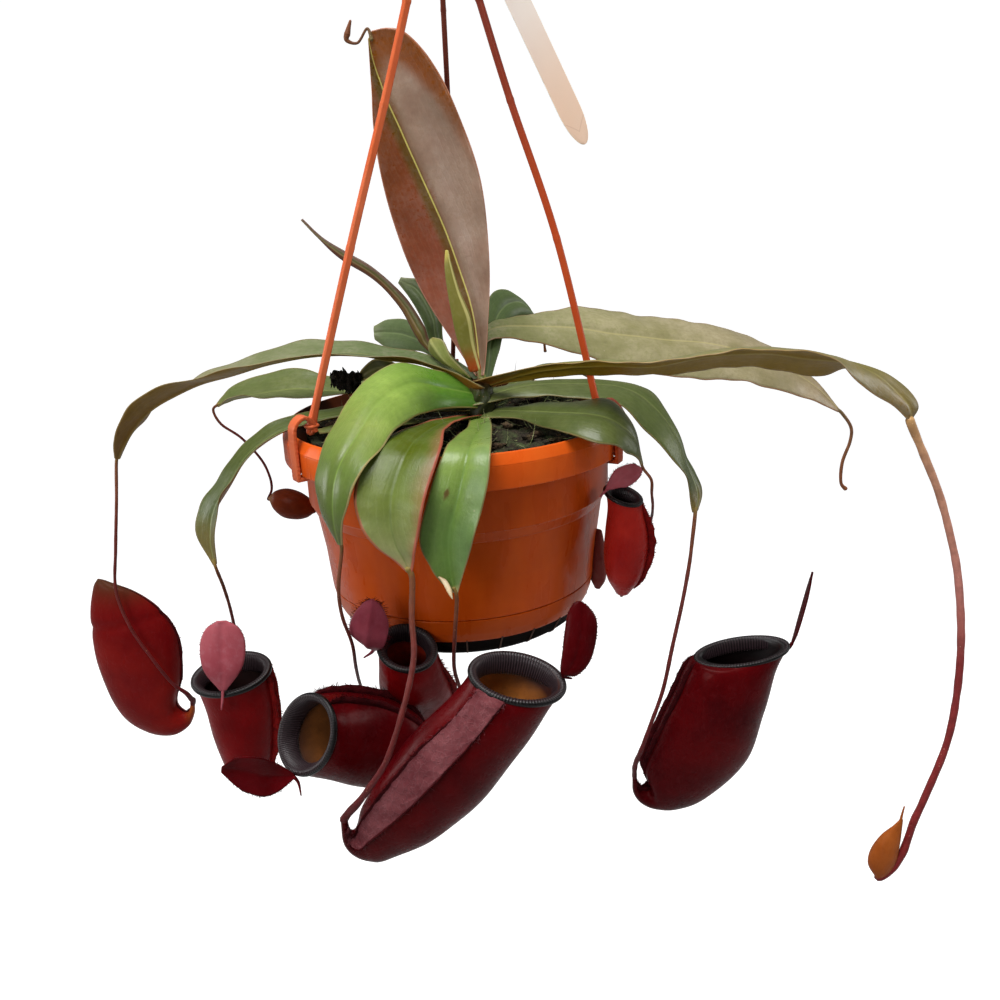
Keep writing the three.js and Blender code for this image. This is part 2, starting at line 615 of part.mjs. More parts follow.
const PITCHERS = {
  pitcher_left: {
    stations: [[-98, -147, -94, -149, -34, 2], [-101, -138, -86, -139, -36, 7],
      [-103, -124, -81, -126, -38, 9.5],
      [-106, -108, -80, -108, -39, 10.5], [-108, -97, -80, -94, -40, 10.5, 2],
        [-109, -93, -79, -90, -41, 11, 3]],
    wings: [250, 290],
  },
  pitcher_middle: {
    stations: [[-32, -139, -28, -140, -24, 2.5], [-36, -124, -19, -124, -28, 7],
      [-38, -108, -13, -110, -40, 9],
      [-38, -94, -10, -96, -50, 10, 3], [-34, -82, -11, -86, -57, 9, 4],
        [-33, -74, -12, -77, -60, 8.5, 5]],
    wings: [],
  },
  pitcher_largest: {
    stations: [[-45.6, -131.4, -43.4, -136.6, -92, 3], [-36, -121, -37, -140, -92, 8],
      [-28, -109, -22, -135, -92, 11],
      [-18, -95, -2, -123, -92, 13], [-9, -83, 14, -104, -92, 13.5],
        [-1, -74, 26, -87, -92, 12.5, 1], [1, -70, 33, -77, -92, 11, 3.5]],
    wings: [125, 165], steps: 9,
  },
  pitcher_sideways: {
    stations: [[-14, -121, -16, -126, -62, 2.5], [-22, -110, -23, -130, -62, 8],
      [-36, -98, -34, -128, -64, 11],
      [-47, -90, -46, -124, -69, 12, 0, 2],
      [-53, -87, -56, -120, -74, 11.5, 0, 4], [-56, -86, -65, -115, -77, 10.5, 0, 6]],
    wings: [160, 200], wingReach: 3, hollowFrom: 0.4,
  },
  pitcher_small_right: {
    stations: [[64, -72, 67, -72, -29, 2], [59, -65, 71, -64, -31, 6], [57, -54, 73, -54, -33, 8.5],
      [57.5, -42, 73, -43, -35, 8.5], [57, -32, 71, -34, -37, 7.5, 1], [56, -25, 70, -29, -38, 7, 1.6]],
    wings: [20, 340], wingReach: 3,
  },
  pitcher_right: {
    stations: [[67, -158, 69, -163, -34, 2.5], [75, -146, 77, -169, -34, 7.5],
      [84, -130, 97, -166, -35, 11.5],
      [87, -117, 116, -147, -36, 13], [89, -107, 122, -125, -36, 13],
        [91, -101, 126, -108, -36, 11.5], [93, -100, 131, -96, -36, 10, 3]],
    wings: [165, 195], steps: 9,
  },
};

// Lids are small broad blades from their neck on the pitcher's rim to their free end.
const LIDS = {
  pitcher_left_lid: {
    left: [[-95.4, -53, -93.4], [-101, -52, -84], [-102, -50, -75], [-97, -49, -68], [-94, -48.6, -66.6]],
    right: [[-91.6, -53, -93.1], [-86, -52, -82], [-85, -50, -73], [-89, -49, -67.4],
      [-91, -48.6, -66.6]],
  },
  pitcher_middle_lid: {
    left: [[-34.4, -60.4, -74.2], [-42, -66, -66], [-41, -66, -59], [-37, -66, -54], [-34, -66, -52.4]],
    right: [[-34.4, -62.6, -75], [-30, -68, -70], [-28, -68, -62], [-30, -67, -55], [-33, -66, -52.4]],
  },
  pitcher_largest_lid: {
    left: [[34.8, -92.8, -76.4], [34, -86, -66], [34, -83, -58], [36, -81, -53], [39, -80, -50.6]],
    right: [[35.6, -90.8, -76.2], [44, -87, -71], [47, -84, -63], [46, -82, -56], [41, -80, -50.8]],
  },
  pitcher_sideways_lid: {
    left: [[-66.2, -77.4, -115.9], [-71, -82, -108], [-76, -88, -101.4], [-82.6, -90, -99.6],
      [-88, -92, -101.6]],
    right: [[-65.9, -78.4, -116.9], [-71.6, -84, -118.6], [-77, -88, -117.4], [-84, -90, -111.6],
      [-88.6, -92, -104]],
  },
  pitcher_small_right_lid: {
    left: [[56, -39.6, -23.4], [57.4, -40.4, -19.4], [60, -40, -16], [66, -39.6, -14.4],
      [69.4, -39.8, -16]],
    right: [[57.4, -40.8, -24], [61, -42, -23], [64, -42.4, -22.6], [68, -42, -20], [70, -40.6, -17]],
  },
  pitcher_right_lid: {
    left: [[132.6, -37.4, -95.6], [133.4, -40, -90], [136.1, -38, -80], [138.8, -34, -73.3],
      [141.2, -30.8, -67.4]],
    right: [[132.6, -34.6, -95.6], [136.4, -28, -91], [139.8, -24, -82], [141.4, -26, -74],
      [141.9, -29.4, -67.4]],
  },
};

const TENDRILS = {
  tall_leaf_tendril: {
    from: 'tall_leaf', radius: 0.9,
    points: [[-29, 15, 141], [-33, 15, 142], [-32.4, 15, 145], [-31, 15, 149]],
  },
  right_long_tendril: {
    from: 'right_long_leaf', to: 'tendril_bud', radius: 1.7,
    points: [[176, -46, -16], [183, -46, -31], [189, -46, -48], [194, -46, -66], [198, -46, -92],
      [199, -46, -118], [197, -46, -142], [190, -46, -168], [187, -46, -180], [185, -47, -190],
      [182, -48, -200], [177, -48, -207]],
  },
  right_broad_tendril: {
    from: 'right_broad_leaf', radius: 1,
    points: [[186, 50, -29], [186, 50, -36], [183, 50, -46], [183, 50, -56], [186, 50, -60]],
  },
  left_long_tendril: {
    from: 'left_long_leaf', to: 'closed_pitcher_left', radius: 1.2,
    points: [[-139, -8, -28], [-141, -14, -50], [-142, -18, -66], [-138, -20, -80], [-130, -20, -97],
      [-121, -18, -110], [-116, -12, -119], [-116, -6, -126]],
  },
  back_left_tendril: {
    from: 'back_left_leaf', to: 'small_pod', radius: 0.8,
    points: [[-103, 33, -8], [-95, 33, -15], [-88, 33, -25], [-86, 33, -35]],
  },
  left_arched_tendril: {
    from: 'left_arched_leaf', to: 'pitcher_left', radius: 1.1,
    points: [[-95, -30, -60], [-95, -24, -74], [-95, -20, -95], [-96, -19, -120],
      [-98, -21, -140], [-101, -28, -150]],
  },
  front_broad_tendril: {
    from: 'front_broad_leaf', to: 'pitcher_middle', radius: 1.1,
    points: [[-44, -73, -44], [-44, -71, -56], [-42, -66, -70], [-43, -54, -86], [-44, -36, -104],
      [-42, -20, -124], [-37, -15, -139]],
  },
  front_left_tendril: {
    from: 'front_left_leaf', to: 'pitcher_largest', radius: 1.5,
    points: [[-18, -90, -50], [-18, -96, -62], [-22, -103, -76], [-28, -107, -92], [-36, -108, -106],
      [-45, -106, -116], [-50.6, -102, -125], [-51.6, -97, -132.6], [-49.6, -93.4, -136.4]],
  },
  front_right_tendril: {
    from: 'front_right_leaf', to: 'pitcher_sideways', radius: 1.2,
    points: [[-4, -80, -62], [-5, -74, -78], [-3, -66, -94], [-3, -61, -108], [-4, -59, -120],
      [-9, -61, -127]],
  },
  right_front_tendril: {
    from: 'right_front_leaf', to: 'pitcher_small_right', radius: 0.8,
    points: [[71.4, -50, -18], [72, -48, -24], [74, -40, -32], [75.6, -28, -42], [73, -22, -56],
      [69, -22, -70]],
  },
  right_bent_tendril: {
    from: 'right_bent_leaf', to: 'pitcher_right', radius: 1.1,
    points: [[93, -26, -52], [91, -30, -61], [87, -36, -75], [82, -42, -91], [78, -46, -108],
      [74, -47, -124], [70, -46, -138], [66.4, -43, -149], [63.4, -38, -157.6]],
  },
  back_right_tendril: { from: 'back_right_leaf', radius: 0.8, points: [[41.6, 49, 20], [42, 48, 14]] },
};

// The black, dried-up remains at the end of the dying leaf.
function driedTipGeometry() {
  return podGeometry({
    stations: [[-38, 16, -38, 9, 9.4, 2], [-43, 18, -42, 8, 8, 3.6], [-47, 19, -46, 9, 7, 3.4],
      [-50, 16, -50, 13, 7, 1]],
    steps: 5,
  });
}

// ---- assembly -----------------------------------------------------------------------------
function named(name, geometry, material) {
  const mesh = new THREE.Mesh(geometry, material);
  mesh.name = name;
  return mesh;
}

function plantGroup() {
  const plant = new THREE.Group();
  plant.add(named('stem', stemGeometry(), TENDRIL));
  const addEach = (forms, geometryOf, materialOf) => Object.entries(forms).forEach(([name, form]) => (
    plant.add(named(name, geometryOf(form), materialOf(form)))));
  addEach(BLADES, bladeGeometry, (blade) => blade.material);
  addEach(PODS, podGeometry, (pod) => pod.material);
  addEach(PITCHERS, pitcherGeometry, () => PITCHER);
  addEach(LIDS, (lid) => bladeGeometry({ ...lid, steps: 6, thickness: LID_THICKNESS }), () => LID);
  addEach(TENDRILS, tendrilGeometry, () => TENDRIL);
  plant.add(named('dried_tip', driedTipGeometry(), DRIED));
  return plant;
}

function potGroup() {
  const pot = new THREE.Group();
  pot.add(named('pot', potGeometry(), ORANGE));
  pot.add(named('drip_tray', trayGeometry(), ORANGE));
  pot.add(named('potting_mix', pottingMixGeometry(), EARTH));
  return pot;
}

const group = new THREE.Group();

const belowHook = new THREE.Group();
belowHook.position.set(POT_OFFSET, 0, -RIM_DROP);
belowHook.add(potGroup(), plantGroup());
group.add(belowHook);

group.add(named('hanger_hook', hookGeometry(), DARK_ARM));
LUGS.forEach((lug) => group.add(named(lug.name, armGeometry(lug), DARK_ARM)));

group.add(named('plant_label', tagGeometry(), TAG));

export default group;
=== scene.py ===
import math
from functools import partialmethod

import bpy
import numpy as np
from mathutils import Matrix, Vector


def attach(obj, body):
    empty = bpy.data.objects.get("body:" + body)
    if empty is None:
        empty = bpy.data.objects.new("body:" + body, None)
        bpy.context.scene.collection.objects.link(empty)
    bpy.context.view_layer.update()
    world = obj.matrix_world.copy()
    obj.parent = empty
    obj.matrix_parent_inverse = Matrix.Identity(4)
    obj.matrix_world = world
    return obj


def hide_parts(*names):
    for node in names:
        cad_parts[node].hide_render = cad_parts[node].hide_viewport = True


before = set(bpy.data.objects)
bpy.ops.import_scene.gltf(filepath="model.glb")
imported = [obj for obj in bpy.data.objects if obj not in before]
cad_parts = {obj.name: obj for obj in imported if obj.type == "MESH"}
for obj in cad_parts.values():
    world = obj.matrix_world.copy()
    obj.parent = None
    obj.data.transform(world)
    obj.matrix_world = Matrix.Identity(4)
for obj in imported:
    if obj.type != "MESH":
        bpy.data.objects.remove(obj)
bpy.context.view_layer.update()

# ---- places and sizes ----
MM = 0.001
RIM_CENTRE = np.array([-4.0, 0.0, -235.0])  # from the hook's seat
HOOK_SEAT = np.zeros(3)

# the pot
COLLAR_BOTTOM = -13
BAND_BOTTOM = -31
FOOT_TOP = -78.6  # where the tray's foot begins, painted dark as shade under the tray
SOIL_TOP = -3.5
SOIL_RADIUS = 60.2
# the collar's skirt runs between these azimuths, and a clip of the hanger fills each gap
SKIRT_RUNS = ((91.6, 210.4), (213.6, 328.4), (331.6, 448.4))

# the hanger, from the hook's seat
JUNCTION = np.array([0.0, 0.0, -40.4])
HOOK_RADIUS = 11
HOOK_ROD = 2.2
BOSS_RADIUS = 4.2
ARMS = {"left": (212, 1.55), "right": (330, 1.35), "back": (90, 1.35)}  # azimuth, radius
ARM_BENDS = ((15.2, -83.8), (27.3, -118), (45.6, -167))  # reach and height
ARM_PULLED_IN = {"right": 2.6}  # how much less an arm reaches at its last bend
ARM_FOOT = ((62, 9), (63, 4))  # radius and height at the rim, as the strap's points are
STRAP_LINE = ((62.5, 3.2), (63.5, 7), (67, 9), (70.6, 6.2), (71.3, 1), (71.3, -7), (71.3, -14.2))
STRAP_WIDTH = 5.4
EYELET_AT = (63.2, 5.2)  # radius and height at the rim
BARB_RADIUS = 69.3
TAG_TOP = np.array([4.2, 0, -35.6])
TAG_TIP = np.array([50, -8, -134])
TAG_HALF_WIDTH = 4.3
TAG_NECK = 24
TAG_ROUNDING = 14  # the length over which its end is rounded

# the plant
STEM_AT = (10, -5)
STEM_RADIUS = 4.4
STEM_TOP = 14
FOOT_RADIUS = 4.2  # a blade clasps the stem this far from its middle
FOOT_HALF_WIDTH = 7.5
FOOT_CLASP = 6.0  # how far the edges of a blade's base reach back round the stem
HOLLOW_FROM = 0.3  # the share of a pitcher's height where its inside begins

# the camera, from the hook's seat
CAMERA_AT = (-1.77, -400.8, -141.815)
CAMERA_DOWN, CAMERA_YAW, CAMERA_ROLL = 18.258, 2.098, -2.4395
LENS = SENSOR = 36
FLOOR_HEIGHT = -0.85  # metres

# the lights: place in metres, width in metres and power
LIGHTS = {
    "top_light": ((-0.15, -0.35, 1.1), 1.0, 23), "front_light": ((-0.9, -1.3, 0.35), 0.8, 8),
    "right_light": ((1.3, 0.1, 0.0), 0.6, 4), "left_light": ((-1.3, 0.3, -0.1), 0.6, 4),
}
LIT_PLACE = (0, 0, -0.25)  # metres
SKY_STRENGTH = 0.36

# ---- the plant's outlines ----
# Blades: the edge further from the viewer and the nearer one, both from the stem to the tip.
# foot is the azimuth and height where the blade clasps the stem, rib is where the midrib runs
# between the edges, and camber is how far the blade is cupped, as a share of its width.
BLADES = {
    "tall_leaf": {
        "rib": [0.5, 0.55, 0.52, 0.45, 0.38, 0.28, 0.15], "camber": -0.14,
        "left": [[9, -2.6, 15], [7, 0, 18], [2, 3, 26], [-12, 6, 51], [-21, 8, 79], [-25, 10, 105],
            [-25, 12, 124], [-25, 14, 142]],
        "right": [[12.4, -3, 15], [13.4, 0, 19], [15, 3, 32], [17, 6, 58], [15, 8, 90],
            [6.4, 10, 117.5], [-1.7, 12, 133.7], [-10.2, 13.5, 143.4], [-17.2, 14.5, 145.8],
            [-23.5, 15, 144.9]],
    },
    "right_long_leaf": {
        "foot": [350, 11],
        "left": [[27, -13, 14], [38, -24, 17], [52, -36, 19.6], [78, -40, 19], [108, -39, 21],
            [135, -37, 15], [150, -34, 16], [165, -36, 14], [173, -42, 4], [170, -45, -2]],
        "right": [[27, -22, 20], [40, -38, 25], [52, -56, 28], [67, -62, 28], [97, -64, 31],
            [120, -62, 30], [136, -58, 23], [150, -52, 12], [161, -48, 5], [169, -46, -2]],
    },
    "right_broad_leaf": {
        "foot": [25, 11],
        "left": [[11, 12, 25.2], [17.7, 26, 32], [31.6, 36, 32.5], [57, 46, 34], [83, 56, 28],
            [110, 60, 23], [140, 62, 14], [167, 58, -4], [180, 51, -20]],
        "right": [[12.3, 5, 23], [20.4, 16, 26.6], [40.2, 24, 21], [90, 28, 5], [124, 34, 0],
            [145, 37, -6], [165, 43, -14], [179, 49, -21]],
    },
    "left_long_leaf": {
        "foot": [185, 12],
        "left": [[-6, 6, 21], [-23, 8, 26], [-42, 10, 29], [-62, 12, 30], [-82, 12, 25],
            [-101, 10, 19], [-118, 8, 10], [-129, 5, 0], [-135, 1, -8], [-137, -2, -12]],
        "right": [[-6, -9, 20], [-20, -11, 25], [-40, -12, 28], [-59, -14, 28], [-80, -14, 25],
            [-104, -14, 21], [-121, -14, 15], [-131, -12, 6], [-136, -9, -3], [-138, -5, -11]],
    },
    "back_left_leaf": {
        "foot": [150, 8.4],
        "left": [[-5, 14, 13], [-23, 22, 12], [-49, 31, 10], [-70, 40, 14], [-94, 42, 8],
            [-102, 38, 3], [-105, 34, 0]],
        "right": [[-6, 8, 10], [-22, 10, 7], [-45, 12, 7], [-66, 14, 6], [-88, 18, 7], [-97, 26, 5],
            [-103, 32, 0]],
    },
    "left_arched_leaf": {
        "foot": [195, 3.4],
        "left": [[-22, -2, 6], [-46, -6, 6], [-61, -12, 5], [-74, -16, 2], [-85, -20, -6],
            [-94, -22, -17], [-102, -24, -27], [-103, -28, -38], [-97, -34, -48]],
        "right": [[-22, -14, 4], [-45, -21, 5], [-60, -25, 3], [-68, -28, 1], [-78, -32, -5],
            [-85, -36, -14], [-91, -38, -23], [-94, -38, -36], [-95, -36, -47]],
    },
    "front_broad_leaf": {
        "rib": [0.5, 0.5, 0.58, 0.6, 0.58], "camber": -0.1, "foot": [222, 8],
        "left": [[-7, -10, 19], [-20, -18, 25], [-32, -30, 21], [-39, -42, 14], [-46, -57, 4],
            [-49, -63, -5], [-49, -67, -14], [-46, -70, -22], [-43, -72, -28]],
        "right": [[-3, -20, 6], [-12, -36, 8], [-20, -54, 8], [-25, -66, 5], [-30, -76, 1],
            [-34, -80, -4], [-37, -81, -11], [-40, -78, -20], [-41, -74, -28]],
    },
    "front_left_leaf": {
        "camber": 0.04, "foot": [242, -0.6],
        "left": [[-4, -24, 3], [-18, -45, 5], [-29, -65, 4], [-35, -78, -8], [-34, -81, -18],
            [-29, -83, -26], [-23, -84, -31], [-19, -85, -35]],
        "right": [[3, -26, 3], [-3, -48, 5], [-5, -70, 3.4], [-10, -81, -7], [-13, -85, -18],
            [-15, -86, -26], [-16, -86, -31], [-17, -86, -35]],
    },
    "front_right_leaf": {
        "camber": 0.04, "foot": [282, -0.6],
        "left": [[5, -30, 1], [-1, -54, 2.6], [-4, -69, 2.6], [-9, -75.6, -8], [-14, -77, -26],
            [-11, -79, -36], [-8, -80, -41], [-4, -81, -45]],
        "right": [[14, -30, 1], [13, -54, 2.6], [12, -71, 2.6], [10, -79, -8], [5, -82, -24],
            [2, -82, -33], [0, -82, -39], [-2, -82, -45]],
    },
    "right_front_leaf": {
        "foot": [325, 0],
        "left": [[23, -10, 3], [34, -20, 6], [48, -33, 9], [57, -39, 10], [62, -42, 7],
            [65, -44, 1], [67, -47, -7], [68.4, -48, -12]],
        "right": [[23, -22, 1], [31, -38, 2], [39, -56, 3], [49, -64, 1], [57, -62, -2],
            [63, -58, -5], [66, -54, -9], [67.6, -50, -12]],
    },
    "right_bent_leaf": {
        "foot": [350, 6],
        "left": [[37, 6, 10], [60, 12, 7], [76, 13, 4], [84, 10, 1], [90, 3, -10], [93, -4, -21],
            [98, -8, -29], [100.4, -12, -35.6], [96.6, -20, -41.6]],
        "right": [[30, -11, 7], [52, -14, 5.6], [66, -16, 2.6], [76, -19, -8], [85, -21, -19],
            [90, -21, -26], [92, -20, -32], [93, -20, -37], [94, -21, -42]],
    },
    "upright_back_leaf": {
        "foot": [140, 12.4],
        "left": [[-7.3, 14, 23.3], [-10.9, 19, 33.5], [-15.8, 23, 43.1], [-20.8, 25, 50.1]],
        "right": [[-2.6, 14, 25.2], [-3.5, 18, 39.1], [-9.5, 23, 50.2], [-19.4, 25, 52.5]],
    },
    "blunt_back_leaf": {
        "foot": [112, 5.6],
        "left": [[-9.2, 17, 20.4], [-20, 26, 21.5], [-28.4, 33, 22.4], [-33.1, 36, 25.2]],
        "right": [[-6.5, 19, 24.5], [-16.3, 30, 33], [-26, 36, 33.9], [-33.2, 37, 31.1]],
    },
    "folded_leaf": {
        "camber": 0.14, "foot": [118, 9.8],
        "left": [[-10.1, 9, 24.3], [-14.3, 11, 29.5], [-20.2, 15, 41.1], [-29.9, 20, 51.9],
            [-44, 26, 60.9], [-52.8, 30, 69.4], [-59.4, 33, 76.8]],
        "right": [[-7.1, 8, 25.9], [-10.7, 10, 34.4], [-17.8, 14, 45.5], [-29.1, 19, 56.4],
            [-41.6, 25, 64], [-51, 29, 69.8], [-58.8, 32, 77.2]],
    },
    "back_right_leaf": {
        "foot": [56, 9],
        "left": [[14, 26, 33], [18, 38, 42], [25, 45, 43], [33, 49, 37], [40, 49, 27]],
        "right": [[22, 24, 26], [28, 38, 30], [34, 45, 31], [38, 49, 29], [40.6, 49, 26]],
    },
    "low_back_leaf": {
        "foot": [14, 1.6],
        "left": [[24, 14, 8], [36, 26, 12], [48, 34, 10], [60, 38, 4]],
        "right": [[28, 4, 8], [42, 14, 12], [54, 24, 9], [61, 36, 3]],
    },
    "curled_leaf": {
        "left": [[6.8, -3.2, 15.1], [-4, 2, 20], [-9, 5, 24], [-9, 6, 28]],
        "right": [[7, -6.4, 15.1], [0, -3, 23], [-3, 1, 29], [-7, 5, 30]],
    },
    "side_leaf": {
        "foot": [190, -1.2],
        "left": [[-16, -8, 0], [-34, -14, 3], [-48, -20, 2], [-53, -23, 1]],
        "right": [[-14, -18, 0], [-30, -24, 1], [-44, -27, 1], [-52, -26, 0]],
    },
    "dying_leaf": {
        "foot": [150, 3],
        "left": [[-19.9, 8, 17.9], [-26.3, 9, 20.7], [-32.1, 10, 21.3], [-37.3, 10, 17.6],
            [-39.1, 11, 14.1]],
        "right": [[-19.1, 2, 14.5], [-25.6, 4, 16.1], [-31.2, 7, 14.5], [-35.9, 9, 13.1],
            [-38.6, 10.5, 12.5]],
    },
}

# A station of a pod or a pitcher is the left edge's x and z, the right edge's x and z, y, the
# half depth and, where it has them, how much lower and further right the front lies.
PODS = {
    "rolled_leaf": {
        "stations": [[6.5, 17.8, 11.5, 18.7, -6.8, 1.5], [2.8, 29, 9.6, 28.6, -6, 3.0],
            [1.2, 38.2, 8.4, 39.3, -6.5, 3.0], [-0.2, 48.7, 4.6, 49.5, -7, 2.2],
            [-0.9, 58.2, 1.9, 59.9, -7, 1.4], [-0.3, 64.5, 1, 64.4, -6, 0.7]],
    },
    "closed_pitcher_left": {
        "stations": [[-122.5, -123.4, -120.5, -123, -7, 1.1],
            [-123.9, -126.8, -121.8, -128.7, -5.6, 2.2],
            [-126.4, -127.5, -125.5, -135.1, -4.6, 3.6],
            [-129.2, -124.1, -133.4, -138.9, -4, 5.6], [-127.9, -118.3, -143.2, -136.7, -4, 7.2],
            [-125, -109.6, -152.8, -128, -4, 8.6], [-123.8, -95, -158.4, -111.3, -4, 9],
            [-126, -85.2, -160, -93.8, -4, 8.5], [-131, -76.5, -158.8, -78.9, -5, 6],
            [-138, -69.4, -155.4, -66.2, -6, 3], [-147.3, -64.6, -153, -62.3, -6, 1]],
    },
    "small_pod": {
        "stations": [[-85.9, -42.5, -85.9, -44.5, 33, 1.2], [-82.5, -39.6, -84.1, -48.3, 32, 3.4],
            [-77.3, -38.6, -79.9, -51.8, 31, 4.8], [-71.8, -40.1, -74.2, -52.9, 30, 5],
            [-67.6, -43.4, -69.7, -52.4, 30, 3.8], [-65.2, -46.7, -66.5, -50.6, 30, 2]],
    },
    "tendril_bud": {
        "stations": [[171.6, -205.7, 175.2, -206.8, -46, 1.6],
            [168.3, -199.2, 178, -203.6, -46, 3.4], [169.2, -191.5, 180.2, -198.1, -46, 3.9],
            [172.8, -185.1, 181.3, -189.4, -46, 3], [177.7, -180.4, 181.7, -182.3, -46, 1.2],
            [180.6, -177.1, 181.8, -177.7, -46, 0.5]],
    },
    "flat_bud": {
        "stations": [[54.7, -75.8, 57.7, -76.4, -12, 1.6], [53.3, -72, 59.7, -72.8, -12, 3],
            [52.8, -65.7, 60, -66.5, -13, 3.2], [53, -59.4, 59.2, -60.2, -14, 3],
            [53.9, -54.1, 58.9, -54.9, -14, 2.4], [54.7, -49.8, 58.1, -50.4, -14, 1.2]],
    },
}

# wings are the angles of the wings round a pitcher, with 90 at its front, and fringe is the
# shortest and longest hair on them.
PITCHERS = {
    "pitcher_left": {
        "stations": [[-98, -148, -93, -149, -34, 3], [-101, -140, -86, -140, -36, 8],
            [-104, -127, -81, -127, -38, 10], [-106, -109, -79, -109, -39, 10.5],
            [-108, -97, -79, -94, -40, 10.5, 2], [-109, -93, -79, -90, -41, 11, 3]],
        "wings": [345, 15],
    },
    "pitcher_middle": {
        "stations": [[-29, -146, -24, -147, -24, 3], [-33, -132, -15, -134, -28, 8],
            [-35, -111, -8, -114, -40, 9.5], [-35, -95, -7, -98, -50, 10, 3],
            [-34, -83, -10, -86, -57, 9, 4], [-33, -74, -12, -77, -60, 8.5, 5]],
        "wings": [5], "fringe": [0.6, 2.4],
    },
    "pitcher_largest": {
        "stations": [[-45.5, -122.9, -47.9, -124, -97, 1.6],
            [-45.4, -129.1, -48, -134.2, -94.6, 2.6], [-44.2, -131, -45, -140.4, -93, 4.4],
            [-42.9, -128.8, -38.9, -143.8, -92, 6.6], [-40.3, -121.4, -31.9, -143.5, -92, 8.6],
            [-31, -107.2, -13, -134, -92, 12], [-20.5, -93.7, 3, -120, -92, 13.5],
            [-9, -83, 17, -102, -92, 13.5], [-1, -74, 27, -86, -92, 12.5, 1],
            [1, -70, 33, -77, -92, 11, 3.5]],
        "wings": [106, 143], "fringe": [0.4, 1.8],
    },
    "pitcher_sideways": {
        "stations": [[-14, -117, -15, -130, -62, 4.5], [-20.6, -104, -22, -134, -62, 9],
            [-32, -95, -33, -133, -64, 11], [-44, -89, -46, -127, -69, 12, 0, 4],
            [-51, -86, -57, -120, -74, 11.5, 0, 7.5], [-54.6, -85, -67, -115, -77, 10.5, 0, 10]],
        "wings": [160, 200], "fringe": [0.6, 2.6], "wing_reach": 3,
    },
    "pitcher_small_right": {
        "stations": [[61, -71, 67, -71, -29, 4], [57.5, -64, 71, -64, -31, 7],
            [56, -54, 73, -54, -33, 9], [56.5, -42, 73, -43, -35, 9],
            [57, -32, 71, -34, -37, 7.5, 1], [56, -25, 70, -29, -38, 7, 1.6]],
        "wings": [20, 340], "wing_reach": 3,
    },
    "pitcher_right": {
        "stations": [[68.6, -154.3, 66.7, -154.2, -38, 0.9],
            [69.3, -159.4, 67.4, -161.8, -36.4, 2.2], [71.7, -161.6, 70.9, -167.8, -35, 3.8],
            [74.5, -160.4, 77.2, -171.5, -34, 6], [72.1, -150.8, 86.8, -172, -34, 8.6],
            [76.8, -136.1, 99.3, -166.4, -34.6, 11.2], [84.9, -115.5, 116, -147.8, -36, 13],
            [88.3, -106, 122, -125, -36, 13], [91, -101, 126, -108, -36, 11],
            [93, -100, 131, -96, -36, 8, 2]],
        "wings": [165, 195],
    },
}

LIDS = {
    "pitcher_left_lid": {
        "left": [[-96, -53, -92.6], [-101.3, -52, -84], [-102, -50, -75], [-99.4, -49, -68.6],
            [-94.6, -48.6, -65.4]],
        "right": [[-93.4, -53, -92.6], [-86.6, -52, -84], [-84.6, -50, -75], [-86.4, -49, -68.6],
            [-91, -48.6, -65.4]],
    },
    "pitcher_middle_lid": {
        "left": [[-34.4, -60.4, -74.2], [-42, -66, -66], [-41, -66, -59], [-37, -66, -54],
            [-34, -66, -52.4]],
        "right": [[-34.4, -62.6, -75], [-30, -68, -70], [-28, -68, -62], [-30, -67, -55],
            [-33, -66, -52.4]],
    },
    "pitcher_largest_lid": {
        "left": [[32, -91.4, -73.2], [32.3, -90.5, -70.3], [33.3, -88, -66.2], [34.4, -85, -60.8],
            [35.8, -82.5, -55.2], [38, -81, -52.2], [39.6, -80.4, -51.4]],
        "right": [[32.7, -91.4, -74.4], [37.8, -90.5, -75.1], [42.6, -88, -71.5],
            [45.4, -85, -65], [46, -82.5, -58.1], [43.6, -81, -53.7], [40.7, -80.4, -51.4]],
    },
    "pitcher_sideways_lid": {
        "left": [[-66.2, -77.4, -115.9], [-71, -82, -108], [-76, -88, -101.4], [-82.6, -90, -99.6],
            [-88, -92, -101.6]],
        "right": [[-65.9, -78.4, -116.9], [-71.6, -84, -118.6], [-77, -88, -117.4],
            [-84, -90, -111.6], [-88.6, -92, -104]],
    },
    "pitcher_small_right_lid": {
        "left": [[56, -39.6, -23.4], [57.4, -40.4, -19.4], [60, -40, -16], [66, -39.6, -14.4],
            [69.4, -39.8, -16]],
        "right": [[57.4, -40.8, -24], [61, -42, -23], [64, -42.4, -22.6], [68, -42, -20],
            [70, -40.6, -17]],
    },
    "pitcher_right_lid": {
        "left": [[132.8, -36.6, -96.2], [134.6, -37, -90], [138, -34.4, -80],
            [140.4, -31.6, -73.3], [141.3, -30.8, -67.4]],
        "right": [[132.8, -35.4, -95.8], [135.4, -32, -90.6], [139, -28.4, -81],
            [141.3, -27, -74], [141.9, -29.4, -67.4]],
    },
}

